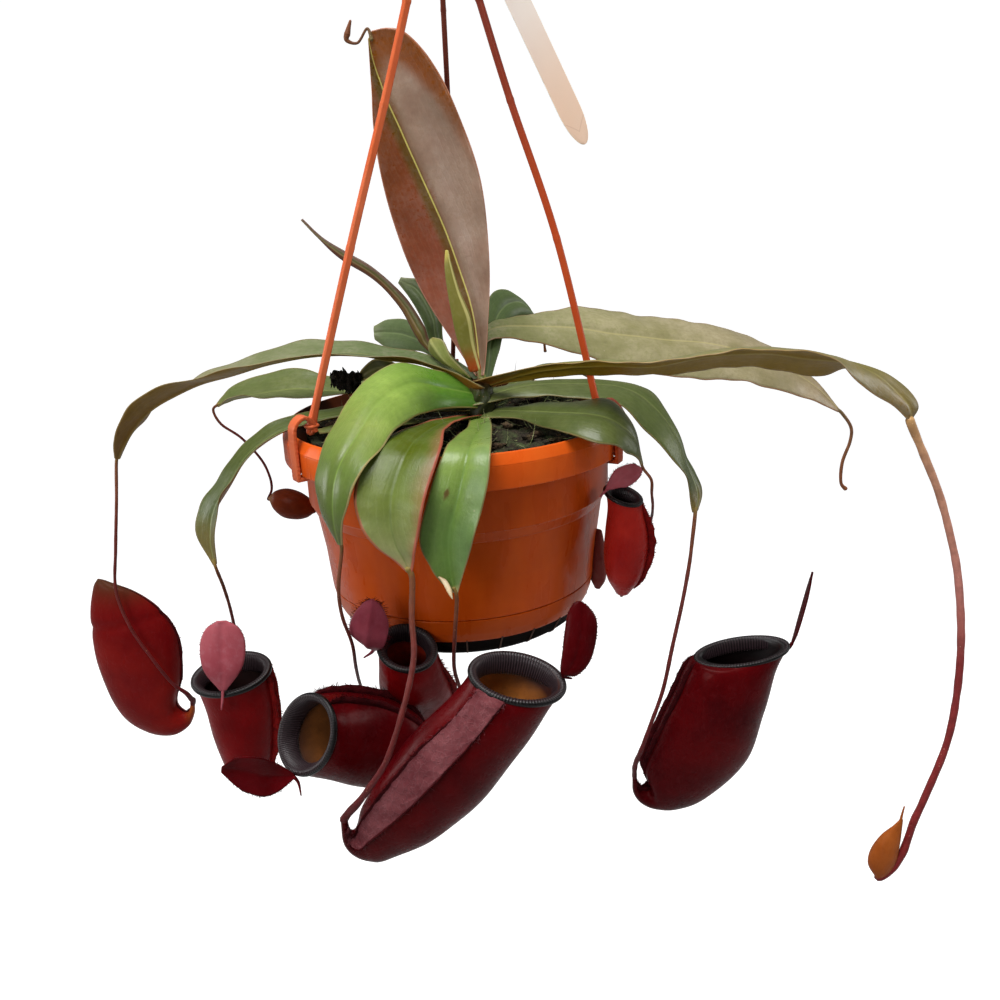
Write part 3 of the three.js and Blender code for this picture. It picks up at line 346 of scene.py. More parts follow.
# A tendril goes from the tip of a blade through its points to what hangs on it. approach is how
# far before that it turns into line.
TENDRILS = {
    "tall_leaf_tendril": {
        "from": "tall_leaf", "radius": 0.648,
        "points": [[-29, 15, 141], [-33, 15, 142], [-32.4, 15, 145], [-31, 15, 149]],
    },
    "right_long_tendril": {
        "slim": 0.9, "from": "right_long_leaf", "to": "tendril_bud", "approach": 0.2,
        "radius": 1.53,
        "points": [[176, -46, -16], [183, -46, -31], [189, -46, -48], [194, -46, -66],
            [198, -46, -92], [199, -46, -118], [197, -46, -142], [190, -46, -167.8],
            [186.6, -46, -178.6], [184.8, -46, -187.1], [182.9, -46.5, -193.7],
            [180.1, -47, -199.3], [176.9, -47, -203.3]],
    },
    "right_broad_tendril": {
        "slim": 0.8, "from": "right_broad_leaf", "radius": 0.8,
        "points": [[186, 50, -29], [186, 50, -36], [183, 50, -46], [183, 50, -56], [186, 50, -60]],
    },
    "left_long_tendril": {
        "slim": 0.55, "from": "left_long_leaf", "to": "closed_pitcher_left", "radius": 0.66,
        "points": [[-139, -8, -28], [-141.6, -11, -48], [-143.9, -12, -65.3],
            [-140.1, -14.2, -80.7], [-133, -15, -95.6], [-126.6, -14.2, -108.2],
            [-122, -12, -114.7], [-121, -9, -119.4]],
    },
    "back_left_tendril": {
        "from": "back_left_leaf", "to": "small_pod", "approach": 0.6, "radius": 0.576,
        "points": [[-103, 33, -8], [-95, 33, -14.7], [-87.6, 33, -24.8], [-84.7, 33, -32.8],
            [-84.4, 33, -39]],
    },
    "left_arched_tendril": {
        "slim": 0.6, "from": "left_arched_leaf", "to": "pitcher_left", "radius": 0.66,
        "points": [[-95, -30, -60], [-95, -24, -74], [-95, -20, -95], [-96, -19, -120],
            [-98, -21, -140], [-101, -28, -150]],
    },
    "front_broad_tendril": {
        "slim": 0.6, "from": "front_broad_leaf", "to": "pitcher_middle", "radius": 0.66,
        "points": [[-44, -73, -44], [-44, -71, -56], [-42, -66, -70], [-43, -54, -86],
            [-44, -36, -104], [-42, -21, -124], [-38, -17, -140], [-31.6, -19, -149]],
    },
    "front_left_tendril": {
        "slim": 0.68, "from": "front_left_leaf", "to": "pitcher_largest", "approach": 0.6,
        "radius": 1.02,
        "points": [[-18, -90, -50], [-18, -96, -62], [-22, -103, -76], [-28.6, -107, -93.1],
            [-35.5, -105, -105], [-40.5, -102, -113.1], [-44.2, -99, -118.6]],
    },
    "front_right_tendril": {
        "slim": 0.6, "from": "front_right_leaf", "to": "pitcher_sideways", "radius": 0.72,
        "points": [[-4, -80, -62], [-5, -74, -78], [-3, -66, -94], [-3, -61, -108], [-4, -59, -120],
            [-9, -61, -127]],
    },
    "right_front_tendril": {
        "from": "right_front_leaf", "to": "pitcher_small_right", "radius": 0.576,
        "points": [[71.4, -50, -18], [72, -48, -24], [74, -40, -32], [75.6, -28, -42],
            [73, -22, -56], [69, -22, -70]],
    },
    "right_bent_tendril": {
        "slim": 0.75, "from": "right_bent_leaf", "to": "pitcher_right", "radius": 0.825,
        "points": [[93, -26, -52], [91, -30, -61], [87, -36, -75], [82, -42, -91],
            [77.5, -46, -108.1], [72, -48, -123], [68.8, -48, -133], [67, -43, -143.6]],
    },
    "back_right_tendril": {
        "from": "back_right_leaf", "radius": 0.576,
        "points": [[41.6, 49, 20], [42, 48, 14]],
    },
}

# ---- numbers ----
def unit(vectors):
    vectors = np.asarray(vectors, float)
    return vectors / np.maximum(np.linalg.norm(vectors, axis=-1, keepdims=True), 1e-9)


def spline(points, shares):
    """Points on a smooth curve through the given ones, at shares from 0 to 1."""
    points = np.asarray(points, float)
    spans = len(points) - 1
    padded = np.vstack([2 * points[0] - points[1], points, 2 * points[-1] - points[-2]])
    place = np.clip(shares, 0, 1) * spans
    start = np.minimum(place.astype(int), spans - 1)
    t = (place - start)[:, None]
    a, b, c, d = (padded[start + k] for k in range(4))
    bend = (2 * a - 5 * b + 4 * c - d) * t**2 + (3 * b - a - 3 * c + d) * t**3
    return 0.5 * (2 * b + (c - a) * t + bend)


def waves(points, wavelength, seed, count=7):
    """A smooth random field, about -0.5 to 0.5, with features about a wavelength long."""
    rng = np.random.default_rng(seed)
    directions = unit(rng.normal(size=(count, 3)))
    lengths = wavelength * rng.uniform(0.7, 1.5, count)
    phases = rng.uniform(0, 2 * np.pi, count)
    turns = np.asarray(points) @ (directions.T * (2 * np.pi / lengths)) + phases
    return np.sin(turns).mean(axis=-1)


def hump(value, centre, width):
    return np.exp(-(((value - centre) / width) ** 2))


def polar(azimuth, radius, height):
    angle = np.radians(azimuth)
    parts = np.broadcast_arrays(radius * np.cos(angle), radius * np.sin(angle), height)
    return np.stack(parts, -1).astype(float)


def run_along(path):
    """The length run up to each point of a path."""
    return np.concatenate([[0], np.cumsum(np.linalg.norm(np.diff(path, axis=0), axis=1))])


def rounded(outline, radius, steps=5):
    """A closed outline with each corner rounded."""
    outline = np.asarray(outline, float)
    points = []
    for before, corner, after in zip(np.roll(outline, 1, 0), outline, np.roll(outline, -1, 0)):
        ways = [before - corner, after - corner]
        cut = min(radius, *(0.45 * np.linalg.norm(way) for way in ways))
        first, last = (corner + cut * unit(way) for way in ways)
        for t in np.linspace(0, 1, steps):
            points.append((1 - t) ** 2 * first + 2 * t * (1 - t) * corner + t**2 * last)
    return np.array(points)


# ---- meshes ----
class Shape:
    """Closed surfaces in millimetres. Each corner of a face has two coordinates: share, from 0
    to 1 across and along the surface, and span, in millimetres."""

    def __init__(self):
        self.points, self.corners, self.sizes, self.slots = [], [], [], []
        self.share, self.span = [], []
        self.count = 0

    def faces(self, corners, share, span, slots):
        """Faces with k corners each: corners is (m, k), share and span are (m, k, 2)."""
        self.corners.append((corners + self.count).ravel())
        self.sizes.append(np.full(len(corners), corners.shape[1]))
        self.share.append(share.reshape(-1, 2))
        self.span.append(span.reshape(-1, 2))
        self.slots.append(np.broadcast_to(slots, len(corners)))

    def skin(self, rings, share=None, span=None, slots=0, loop=False):
        """A closed surface through rings of points, (rows, columns, 3). With loop the last ring
        meets the first, and otherwise a fan closes each end. share and span are pairs of
        coordinates for a grid with one more column, and with loop one more row."""
        rings = np.asarray(rings, float)
        rows, columns = rings.shape[:2]
        tall = rows + 1 if loop else rows
        even = (np.linspace(0, 1, columns + 1)[None], np.linspace(0, 1, tall)[:, None])
        grids = [np.stack([np.broadcast_to(part, (tall, columns + 1)) for part in pair or even], -1)
                 for pair in (share, span)]
        row, column = (part.ravel() for part in np.indices((tall - 1, columns)))
        steps = ((0, 0), (0, 1), (1, 1), (1, 0))
        quads = np.stack(
            [(row + i) % rows * columns + (column + j) % columns for i, j in steps], 1)
        points = rings.reshape(-1, 3)
        a, b, c, d = (points[quads[:, k]] - points.mean(axis=0) for k in range(4))
        turn = -1 if (a * (np.cross(b, c) + np.cross(c, d))).sum() < 0 else 1
        maps = [np.stack([grid[row + i, column + j] for i, j in steps], 1)[:, ::turn]
                for grid in grids]
        slot_grid = np.broadcast_to(slots, (tall - 1, columns))
        self.faces(quads[:, ::turn], *maps, slot_grid.ravel())
        if not loop:
            k = np.arange(columns)
            for end, near, far in ((0, 1, 0), (rows - 1, 0, 1)):
                base = end * columns
                centre = np.full(columns, rows * columns + (end > 0))
                fan = np.stack([base + (k + near) % columns, base + (k + far) % columns, centre], 1)
                fan_maps = [np.stack([grid[end, k + near], grid[end, k + far],
                                      (grid[end, k] + grid[end, k + 1]) / 2], 1)[:, ::turn]
                            for grid in grids]
                self.faces(fan[:, ::turn], *fan_maps, slot_grid[min(end, tall - 2)])
            points = np.vstack([points, rings[0].mean(axis=0), rings[-1].mean(axis=0)])
        self.points.append(points)
        self.count += len(points)


def as_object(name, shape, materials, origin=RIM_CENTRE, sharp=None):
    """Makes an object from a shape, in metres from the hook's seat."""
    mesh = bpy.data.meshes.new(name)
    points = (np.concatenate(shape.points) + origin) * MM
    corners, sizes = np.concatenate(shape.corners), np.concatenate(shape.sizes)
    mesh.vertices.add(len(points))
    mesh.vertices.foreach_set("co", points.ravel())
    mesh.loops.add(len(corners))
    mesh.loops.foreach_set("vertex_index", corners.astype(np.int32))
    mesh.polygons.add(len(sizes))
    mesh.polygons.foreach_set("loop_start", (np.cumsum(sizes) - sizes).astype(np.int32))
    mesh.polygons.foreach_set("material_index", np.concatenate(shape.slots).astype(np.int32))
    mesh.polygons.foreach_set("use_smooth", np.ones(len(sizes), bool))
    mesh.update(calc_edges=True)
    for layer, values in (("Share", shape.share), ("Span", shape.span)):
        coordinates = mesh.uv_layers.new(name=layer)
        coordinates.data.foreach_set("uv", np.concatenate(values).astype(np.float32).ravel())
    if sharp:
        mesh.set_sharp_from_angle(angle=math.radians(sharp))
    for material in materials:
        mesh.materials.append(material)
    made = bpy.data.objects.new(name, mesh)
    bpy.context.scene.collection.objects.link(made)
    return made


def make(name, shape, materials, nodes, origin=RIM_CENTRE, sharp=None):
    """Makes a piece of the object from a shape. It rides on the one body there is."""
    piece = as_object(name, shape, materials, origin, sharp)
    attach(piece, "root")
    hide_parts(*nodes)


# ---- forms that several pieces share ----
def round_angles(count, whole=2 * np.pi):
    return np.linspace(0, whole, count, endpoint=False)


def circle(sides, radius=1.0):
    angles = round_angles(sides)
    return np.stack([radius * np.cos(angles), radius * np.sin(angles)], -1)


def sweep(shape, path, section, scale=1.0, facing=(0.31, 0.17, 0.94), slots=0):
    """A section (k, 2) carried along a path. Its first axis starts out turned to facing."""
    path, section = np.asarray(path, float), np.asarray(section, float)
    tangents = unit(np.gradient(path, axis=0))
    first, firsts = np.asarray(facing, float), []
    for tangent in tangents:
        first = unit(first - tangent * (first @ tangent))
        firsts.append(first)
    firsts = np.array(firsts)
    seconds = np.cross(tangents, firsts)
    scale = np.broadcast_to(scale, len(path))[:, None, None]
    rings = path[:, None] + scale * (
        firsts[:, None] * section[None, :, :1] + seconds[:, None] * section[None, :, 1:])
    run = run_along(path)[:, None]
    around = np.linspace(0, 1, len(section) + 1)[None]
    girth = run_along(np.vstack([section, section[:1]]))[None]
    shape.skin(rings, share=(around, run / run[-1]), span=(girth, run), slots=slots)


def stalk(shape, points, radii, sides=12, steps=60, roughness=0.0, seed=0):
    """A round stalk through points. radii are spread evenly along it, and its ends are round."""
    shares = np.linspace(0, 1, steps)
    path = spline(points, shares)
    radius = np.interp(shares, np.linspace(0, 1, len(radii)), radii)
    radius = radius * (1 + roughness * 2 * waves(path, 6, seed))
    run = run_along(path)
    nearest_end = np.minimum(run, run[-1] - run)
    rounding = np.sqrt(np.clip(1 - (1 - np.minimum(nearest_end / radius, 1)) ** 2, 0.02, 1))
    sweep(shape, path, circle(sides), radius * rounding)


def lathe(shape, outline, start=0.0, end=360.0, steps=256, slots=0, ripple=None):
    """A closed outline of (radius, height) turned round the pot's axis, all or part of the way."""
    outline = np.asarray(outline, float)
    whole = end - start >= 360
    azimuths = np.linspace(start, end, steps, endpoint=not whole)
    rings = polar(azimuths[:, None], outline[None, :, 0], outline[None, :, 1])
    if ripple is not None:
        rings = rings + ripple(rings)
    run = run_along(np.vstack([outline, outline[:1]]))[None]
    arc = np.radians(np.append(azimuths, end) if whole else azimuths)[:, None]
    share = (run / run[0, -1], arc / (2 * np.pi))
    shape.skin(rings, share=share, span=(run, arc * outline[:, 0].max()), slots=slots, loop=whole)


def hairs(shape, roots, directions, lengths, radius, rng, bend=0.3, slots=0):
    """Fine three-sided hairs that taper and bend a little."""
    lengths = np.broadcast_to(lengths, len(roots))
    for root, direction, length in zip(roots, unit(directions), lengths):
        droop = np.cross(direction, rng.normal(size=3)) * bend * length
        reach = np.array([0, 0.35, 0.7, 1])[:, None]
        path = root + direction * length * reach + droop * reach**2
        sweep(shape, path, circle(3, radius), [1, 0.8, 0.5, 0.12], slots=slots)


def ring(shape, centre, azimuth, radius, wire, steps, sides):
    """A level ring of round wire that starts at an azimuth."""
    turn = round_angles(steps)[:, None, None]
    spoke = polar(azimuth, 1, 0) * np.cos(turn) + polar(azimuth + 90, 1, 0) * np.sin(turn)
    section = circle(sides, wire)[None]
    points = centre + spoke * (radius + section[..., :1]) + np.array([0, 0, 1]) * section[..., 1:]
    shape.skin(points, loop=True)


def lump(shape, centre, size, seed, slots=0):
    """A rough crumb, about as wide as size."""
    down = np.linspace(0.12, np.pi - 0.12, 7)[:, None]
    ball = polar(np.degrees(round_angles(10))[None], np.sin(down), np.cos(down))
    ball = ball * (1 + 0.9 * waves(ball + seed, 1.4, seed))[..., None] * np.asarray(size) / 2
    shape.skin(ball + centre, slots=slots)


# ---- leaves ----
def blade_edges(leaf):
    """The two edges of a blade, with the corners where it clasps the stem."""
    left, right = np.array(leaf["left"], float), np.array(leaf["right"], float)
    if "foot" in leaf:
        azimuth, height = leaf["foot"]
        ahead = polar(azimuth, 1, 0)
        centre = np.array([*STEM_AT, height]) + ahead * FOOT_RADIUS
        across = left[0] - right[0]
        half = min(FOOT_HALF_WIDTH, 0.46 * np.linalg.norm(across))
        side = unit(across - ahead * (across @ ahead)) * half
        left, right = np.vstack([centre + side, left]), np.vstack([centre - side, right])
    return left, right


def blade(shape, leaf, seed, lanes=28, steps=96, thickness=0.8, ripple=0.8, crease=0.7, slot=0):
    """A leaf blade with its midrib, sunk above and raised below. Its upper side has material slot
    and its under side the next one. Gives back the points of its upper side."""
    edges = blade_edges(leaf)
    shares = np.linspace(0, 1, steps + 1)
    left, right = (spline(edge, shares) for edge in edges)
    middle = (left + right) / 2
    across = right - left
    width = np.linalg.norm(across, axis=1)[:, None]
    normal = unit(np.cross(across, np.gradient(middle, axis=0)))
    third = normal[: steps // 3].mean(axis=0)
    facing = third[2] if abs(third[2]) > 0.45 else -third[1]
    out = (normal * (-1 if facing < 0 else 1))[:, None]

    s = np.linspace(0, 1, lanes + 1)[None]
    places = leaf.get("rib", [0.5])
    rib = np.interp(shares, np.linspace(0, 1, len(places)), places)[:, None]
    from_rib = (s - rib) * width  # millimetres
    u = np.where(s < rib, 0.5 * s / rib, 0.5 + 0.5 * (s - rib) / (1 - rib))
    rise = 4 * s * (1 - s)
    sheet = left[:, None] + across[:, None] * s[..., None]
    sheet = sheet + (leaf.get("camber", 0.1) * width * rise)[..., None] * normal[:, None]
    if "foot" in leaf:  # the base clasps the stem
        clasp = np.clip(1 - 7 * shares, 0, 1)[:, None] * (2 * s - 1) ** 2 * FOOT_CLASP
        sheet = sheet - clasp[..., None] * polar(leaf["foot"][0], 1, 0)

    ends = np.clip(shares * 6, 0, 1) * np.clip((1 - shares) * 9, 0, 1)
    full = np.clip(width / 18, 0, 1) * ends[:, None]
    edge = np.abs(2 * s - 1) ** 2.5
    lift = ripple * full * (waves(sheet, 26, seed) + 1.7 * edge * waves(sheet, 15, seed + 1))
    lift = lift - crease * full * hump(from_rib, 0, 2.2)
    fine_rib = np.clip(width / 10, 0.2, 1)
    groove = 0.3 * fine_rib * hump(from_rib, 0, 0.7)
    ridge = 0.55 * fine_rib * hump(from_rib, 0, 1.0)
    half = thickness * (0.22 + 0.28 * rise**0.5)
    top = sheet + out * (lift + half - groove)[..., None]
    bottom = sheet + out * (lift - half - ridge)[..., None]

    rings = np.concatenate([top, bottom[:, ::-1]], axis=1)
    there_and_back = np.concatenate([u, u[:, ::-1], u[:, :1]], axis=1)
    from_rib_back = np.concatenate([from_rib, from_rib[:, ::-1], from_rib[:, :1]], axis=1)
    slots = np.concatenate([np.zeros(lanes + 1), np.ones(lanes), np.zeros(1)]).astype(int)
    shape.skin(rings, share=(there_and_back, shares[:, None]),
               span=(from_rib_back, run_along(middle)[:, None]), slots=slot + slots[None])
    return top


def leaf_tip(leaf):
    """The end of a blade's midrib and the direction it points in."""
    tip, before = ((np.add(leaf["left"][-k], leaf["right"][-k])) / 2 for k in (1, 2))
    return tip, unit(tip - before)


# ---- pitchers, buds and tendrils ----
def sections(stations, shares):
    """The middle of each section, its half width to the right and its half depth to the front."""
    table = np.array([[*row, *[0] * (8 - len(row))] for row in stations], float)
    left, right = (spline(table[:, columns], shares) for columns in ([0, 4, 1], [2, 4, 3]))
    front = spline(np.stack([table[:, 7], -table[:, 5], -table[:, 6]], 1), shares)
    centre = (left + right) / 2
    return centre, right - centre, front


def around(centre, side, front, angles):
    """Points round each section. An angle of 90 degrees is its front."""
    turn = np.radians(angles)[..., None]
    return centre[:, None] + side[:, None] * np.cos(turn) + front[:, None] * np.sin(turn)


def dome(centre, side, front, sign, steps=5):
    """Sections that round off an end. sign is -1 for the first end and 1 for the last."""
    end = 0 if sign < 0 else -1
    axis = unit(centre[end] - centre[1 if sign < 0 else -2])
    reach = 0.6 * min(np.linalg.norm(side[end]), np.linalg.norm(front[end]))
    swing = np.linspace(0.18, 1, steps, endpoint=False)
    swing = swing if sign < 0 else swing[::-1]
    scale = swing[:, None]
    rise = (reach * np.sqrt(1 - swing**2))[:, None]
    return centre[end] + axis * rise, side[end] * scale, front[end] * scale


def body_of(plan, steps):
    """The sections of a pitcher or bud from its rounded base to its top, and their shares."""
    shares = np.linspace(0, 1, steps)
    parts = sections(plan["stations"], shares)
    base = dome(*parts, -1)
    shares = np.concatenate([np.zeros(len(base[0])), shares])
    return [np.concatenate(pair) for pair in zip(base, parts)], shares


def pod(shape, plan, seed, steps=60, sides=64, seam=None):
    """A closed bud. A seam, at a share of its height, is where its lid will open."""
    (centre, side, front), shares = body_of(plan, steps)
    top = dome(centre, side, front, 1)
    centre, side, front = (np.concatenate(pair) for pair in zip((centre, side, front), top))
    shares = np.concatenate([shares, np.ones(len(top[0]))])
    angles = round_angles(sides, 360)[None]
    points = around(centre, side, front, angles)
    outward = unit(points - centre[:, None])
    lift = 0.3 * waves(points, 16, seed) * np.clip(np.linalg.norm(side, axis=1) / 6, 0, 1)[:, None]
    if seam is not None:
        lift = lift - 0.7 * hump(shares[:, None], seam, 0.014)
    points = points + outward * lift[..., None]
    run = run_along(centre)[:, None]
    shape.skin(points, share=(np.linspace(0, 1, sides + 1)[None], shares[:, None]),
               span=(np.linspace(0, 40, sides + 1)[None], run))


def pitcher(shape, plan, seed, steps=70, sides=96):
    """A pitcher's cup: material 0 outside, 1 inside and 2 on the ribbed rim."""
    (centre, side, front), shares = body_of(plan, steps)
    angles = round_angles(sides, 360)[None]
    outer = around(centre, side, front, angles)
    outward = unit(outer - centre[:, None])
    fade = np.clip((1 - shares) * 8, 0, 1)[:, None]
    outer = outer + outward * (0.5 * waves(outer, 22, seed) * fade)[..., None]
    inner_shares = np.linspace(1, HOLLOW_FROM, 30)
    inner_parts = sections(plan["stations"], inner_shares)
    radius = np.minimum(*(np.linalg.norm(part, axis=1) for part in inner_parts[1:]))
    shrink = (1 - 1.2 / radius)[:, None]
    inner = around(inner_parts[0], inner_parts[1] * shrink, inner_parts[2] * shrink, angles)
    rings = np.concatenate([outer, inner])
    heights = np.concatenate([shares, inner_shares])[:, None]
    run = np.concatenate([run_along(centre), run_along(inner_parts[0])])[:, None]
    slots = (np.arange(len(rings) - 1) >= len(outer) - 1).astype(int)[:, None]
    shape.skin(rings, share=(np.linspace(0, 1, sides + 1)[None], heights),
               span=(np.linspace(0, 60, sides + 1)[None], run), slots=slots)
    peristome(shape, plan)


# across the ribbed rim, from under its outer edge over the top and down inside to its teeth:
# outward and upward, and how much each place follows the ribs
PERISTOME_OUTLINE = (
    (-0.5, -2.0, 0.0), (0.2, -1.9, 0.0), (0.9, -1.4, 0.1), (1.1, -0.6, 0.2), (0.85, 0.1, 0.5),
    (0.2, 0.5, 1.0), (-0.8, 0.4, 1.0), (-1.7, -0.2, 0.7), (-2.4, -1.2, 1.0), (-2.8, -2.3, 1.6),
    (-3.1, -3.2, 3.2), (-3.0, -3.7, 3.6), (-2.6, -3.6, 2.0), (-2.1, -3.0, 0.3), (-1.3, -2.5, 0.0))
RIB_SPACING = 0.95
RIB_HEIGHT = 0.05
BACK_DEPTH = 0.8  # how much further the rim runs down inside at the back of a mouth


def lip_of(plan):
    """The mouth's middle, half width, half depth and the direction it opens in."""
    centre, side, front = sections(plan["stations"], np.array([0.97, 1.0]))
    opening = unit(np.cross(front[1], side[1]))
    return centre[1], side[1], front[1], opening * np.sign(opening @ (centre[1] - centre[0]))


def peristome(shape, plan):
    """The rim of the mouth, rolled out and down, with ribs across it that end in teeth."""
    centre, side, front, opening = lip_of(plan)
    wide, deep = np.linalg.norm(side), np.linalg.norm(front)
    ribs = int(2 * np.pi * math.sqrt((wide**2 + deep**2) / 2) / RIB_SPACING)
    turn = round_angles(ribs * 6)[:, None, None]
    lip = centre + side * np.cos(turn) + front * np.sin(turn)
    out = unit(side * np.cos(turn) / wide**2 + front * np.sin(turn) / deep**2)
    table = np.array(PERISTOME_OUTLINE)
    outline = table[:, :2] * min(1.0, min(wide, deep) / 11)
    away = unit(outline - outline.mean(axis=0))
    lift = RIB_HEIGHT * table[:, 2] * np.cos(ribs * turn[..., 0])
    inside = np.clip(-outline[:, 1] - 0.2, 0, None) * (outline[:, 0] < -1)
    deeper = BACK_DEPTH * (0.5 - 0.5 * np.sin(turn[..., 0])) * inside
    rho = (outline[:, 0] + away[:, 0] * lift - 0.35 * deeper)[..., None]
    height = (outline[:, 1] + away[:, 1] * lift - deeper)[..., None]
    rings = lip + out * rho + opening * height
    share_u = np.linspace(0, 1, len(outline) + 1)[None]
    share_v = np.linspace(0, ribs, len(turn) + 1)[:, None]
    shape.skin(rings, share=(share_u, share_v), span=(share_u, share_v), slots=2, loop=True)


def wing_line(plan, angle, steps):
    """The root of a wing up a pitcher's side, and the directions outward and along it."""
    shares = np.linspace(0.05, 0.97, steps)
    parts = sections(plan["stations"], shares)
    root = around(*parts, np.full((1, 1), angle))[:, 0]
    return shares, root, unit(root - parts[0]), unit(np.gradient(root, axis=0))


def wing(shape, plan, angle, seed, fringe=(0.4, 1.3), slots=3, steps=70):
    """A thin fringed wing up a pitcher's side."""
    shares, root, out, along = wing_line(plan, angle, steps)
    side = np.cross(out, along)
    reach = plan.get("wing_reach", 2.5) * np.sin(np.pi * np.minimum(1, shares * 1.05)) ** 0.7
    reach = np.maximum(0.3, reach * (1 + 0.35 * waves(root, 7, seed)))[:, None]
    lean = side * (0.6 * waves(root, 12, seed + 3))[:, None]
    tip = root + out * reach + lean
    foot, halfway = root - out * 0.8, (root + tip) / 2
    rings = np.stack([foot + side * 0.5, halfway + side * 0.28, tip + side * 0.12,
                      tip - side * 0.12, halfway - side * 0.28, foot - side * 0.5], axis=1)
    shape.skin(rings, slots=slots)
    rng = np.random.default_rng(seed)
    count = int(run_along(tip)[-1] / 0.75)
    places = rng.uniform(0, 1, count) * (steps - 1)
    pick = places.astype(int)
    sway = 0.5 * along[pick] * rng.normal(size=(count, 1))
    directions = out[pick] + sway + 0.25 * rng.normal(size=(count, 3))
    hairs(shape, tip[pick] - out[pick] * 0.2, directions, rng.uniform(*fringe, count), 0.13, rng,
          slots=slots)


def tendril_path(plan):
    """From inside the tip of the blade, through the bends, to the base of what hangs on it."""
    tip, ahead = leaf_tip(BLADES[plan["from"]])
    path = [tip - ahead * 2.2, tip + ahead * 2.4, *plan["points"]]
    carried = PITCHERS.get(plan.get("to"), PODS.get(plan.get("to")))
    if carried:
        centre = sections(carried["stations"], np.array([0, 1 / (len(carried["stations"]) - 1)]))[0]
        axis = unit(centre[1] - centre[0])
        path += [centre[0] - axis * plan.get("approach", 2.6), centre[0] + axis * 0.6]
    return path


# ---- materials: the tools ----
def linear(code):
    """A colour written as #rrggbb."""
    channels = (int(code[k:k + 2], 16) / 255 for k in (1, 3, 5))
    return (*(c / 12.92 if c <= 0.04045 else ((c + 0.055) / 1.055) ** 2.4 for c in channels), 1)


class Nodes:
    """Adds nodes to a material or a group. Each call gives back a socket."""

    def __init__(self, tree):
        self.tree = tree

    def put(self, socket, value):
        if isinstance(value, bpy.types.NodeSocket):
            self.tree.links.new(value, socket)
        else:
            socket.default_value = linear(value) if isinstance(value, str) else value

    def add(self, kind, inputs=None, output=0, **settings):
        node = self.tree.nodes.new("ShaderNode" + kind)
        for name, value in settings.items():
            setattr(node, name, value)
        for socket, value in (inputs or {}).items():
            self.put(node.inputs[socket], value)
        return node.outputs[output]

    def math(self, operation, a, b=0.5, c=0.5, clamp=False):
        return self.add("Math", {0: a, 1: b, 2: c}, operation=operation, use_clamp=clamp)

    times = partialmethod(math, "MULTIPLY")
    plus = partialmethod(math, "ADD")
    less = partialmethod(math, "SUBTRACT")
    over = partialmethod(math, "DIVIDE")
    times_plus = partialmethod(math, "MULTIPLY_ADD")
    size_of = partialmethod(math, "ABSOLUTE")

    def span(self, value, low, high, to_low=0.0, to_high=1.0):
        """A smooth step from one value to another."""
        return self.add("MapRange", {0: value, 1: low, 2: high, 3: to_low, 4: to_high},
                        interpolation_type="SMOOTHSTEP")

    def mix(self, factor, a, b, blend="MIX"):
        return self.add("Mix", {0: factor, 6: a, 7: b}, 2, data_type="RGBA", blend_type=blend)

    def tint(self, colour, other, mask, strength):
        """A colour turned towards another where a mask is, by a strength."""
        return self.mix(self.times(mask, strength), colour, other)

    def ramp(self, value, stops):
        """A colour by place, from (place, colour) pairs."""
        node = self.tree.nodes.new("ShaderNodeValToRGB")
        for k, (place, colour) in enumerate(stops):
            stop = node.color_ramp.elements[k] if k < 2 else node.color_ramp.elements.new(place)
            stop.position, stop.color = place, linear(colour)
        self.put(node.inputs[0], value)
        return node.outputs[0]

    def noise(self, vector, scale, detail=3.0, roughness=0.55):
        return self.add("TexNoise", {"Vector": vector, "Scale": scale, "Detail": detail,
                                     "Roughness": roughness})

    def millimetres(self, stretch=(1, 1, 1)):
        """A point's place on the object in millimetres, stretched."""
        place = self.add("TexCoord", output="Object")
        scale = tuple(1000 * part for part in stretch)
        return self.add("VectorMath", {0: place, 1: scale}, operation="MULTIPLY")

    def across_and_along(self, layer):
        """The two coordinates that a shape carries, share or span."""
        place = self.add("UVMap", uv_map=layer)
        split = self.tree.nodes.new("ShaderNodeSeparateXYZ")
        self.put(split.inputs[0], place)
        return split.outputs[0], split.outputs[1]

    def along(self):
        return self.across_and_along("Share")[1]

    def place(self, group, **inputs):
        """Places a group. Its inputs are named with _ for a space."""
        node = self.tree.nodes.new("ShaderNodeGroup")
        node.node_tree = group
        for name, value in inputs.items():
            self.put(node.inputs[name.replace("_", " ")], value)
        return node.outputs

    def bump(self, height, strength, distance):
        return self.add("Bump", {"Strength": strength, "Distance": distance * MM, "Height": height})


def group(name, inputs, outputs):
    """Turns a function of (nodes, inputs) into a node group with named inputs and outputs."""
    def build(work):
        tree = bpy.data.node_groups.new(name, "ShaderNodeTree")
        for label, value in inputs.items():
            socket = tree.interface.new_socket(label, in_out="INPUT", socket_type="NodeSocketFloat")
            socket.default_value = value
        for label in outputs:
            tree.interface.new_socket(label, in_out="OUTPUT", socket_type="NodeSocketFloat")
        nodes = Nodes(tree)
        results = work(nodes, tree.nodes.new("NodeGroupInput").outputs)
        end = tree.nodes.new("NodeGroupOutput")
        for label, value in zip(outputs, results):
            nodes.put(end.inputs[label], value)
        return tree
    return build


class Finish(Nodes):
    """A new material and its nodes."""

    def __init__(self, name):
        self.material = bpy.data.materials.new(name)
        self.material.use_nodes = True
        super().__init__(self.material.node_tree)

    def shade(self, colour, roughness, normal, uniform):
        """Joins the shader: colour, roughness and normal vary, and uniform holds everywhere."""
        shader = self.tree.nodes["Principled BSDF"]
        varied = {"Base Color": colour, "Roughness": roughness, "Normal": normal}
        for socket, value in {**varied, **uniform}.items():
            self.put(shader.inputs[socket], value)
        return self.material


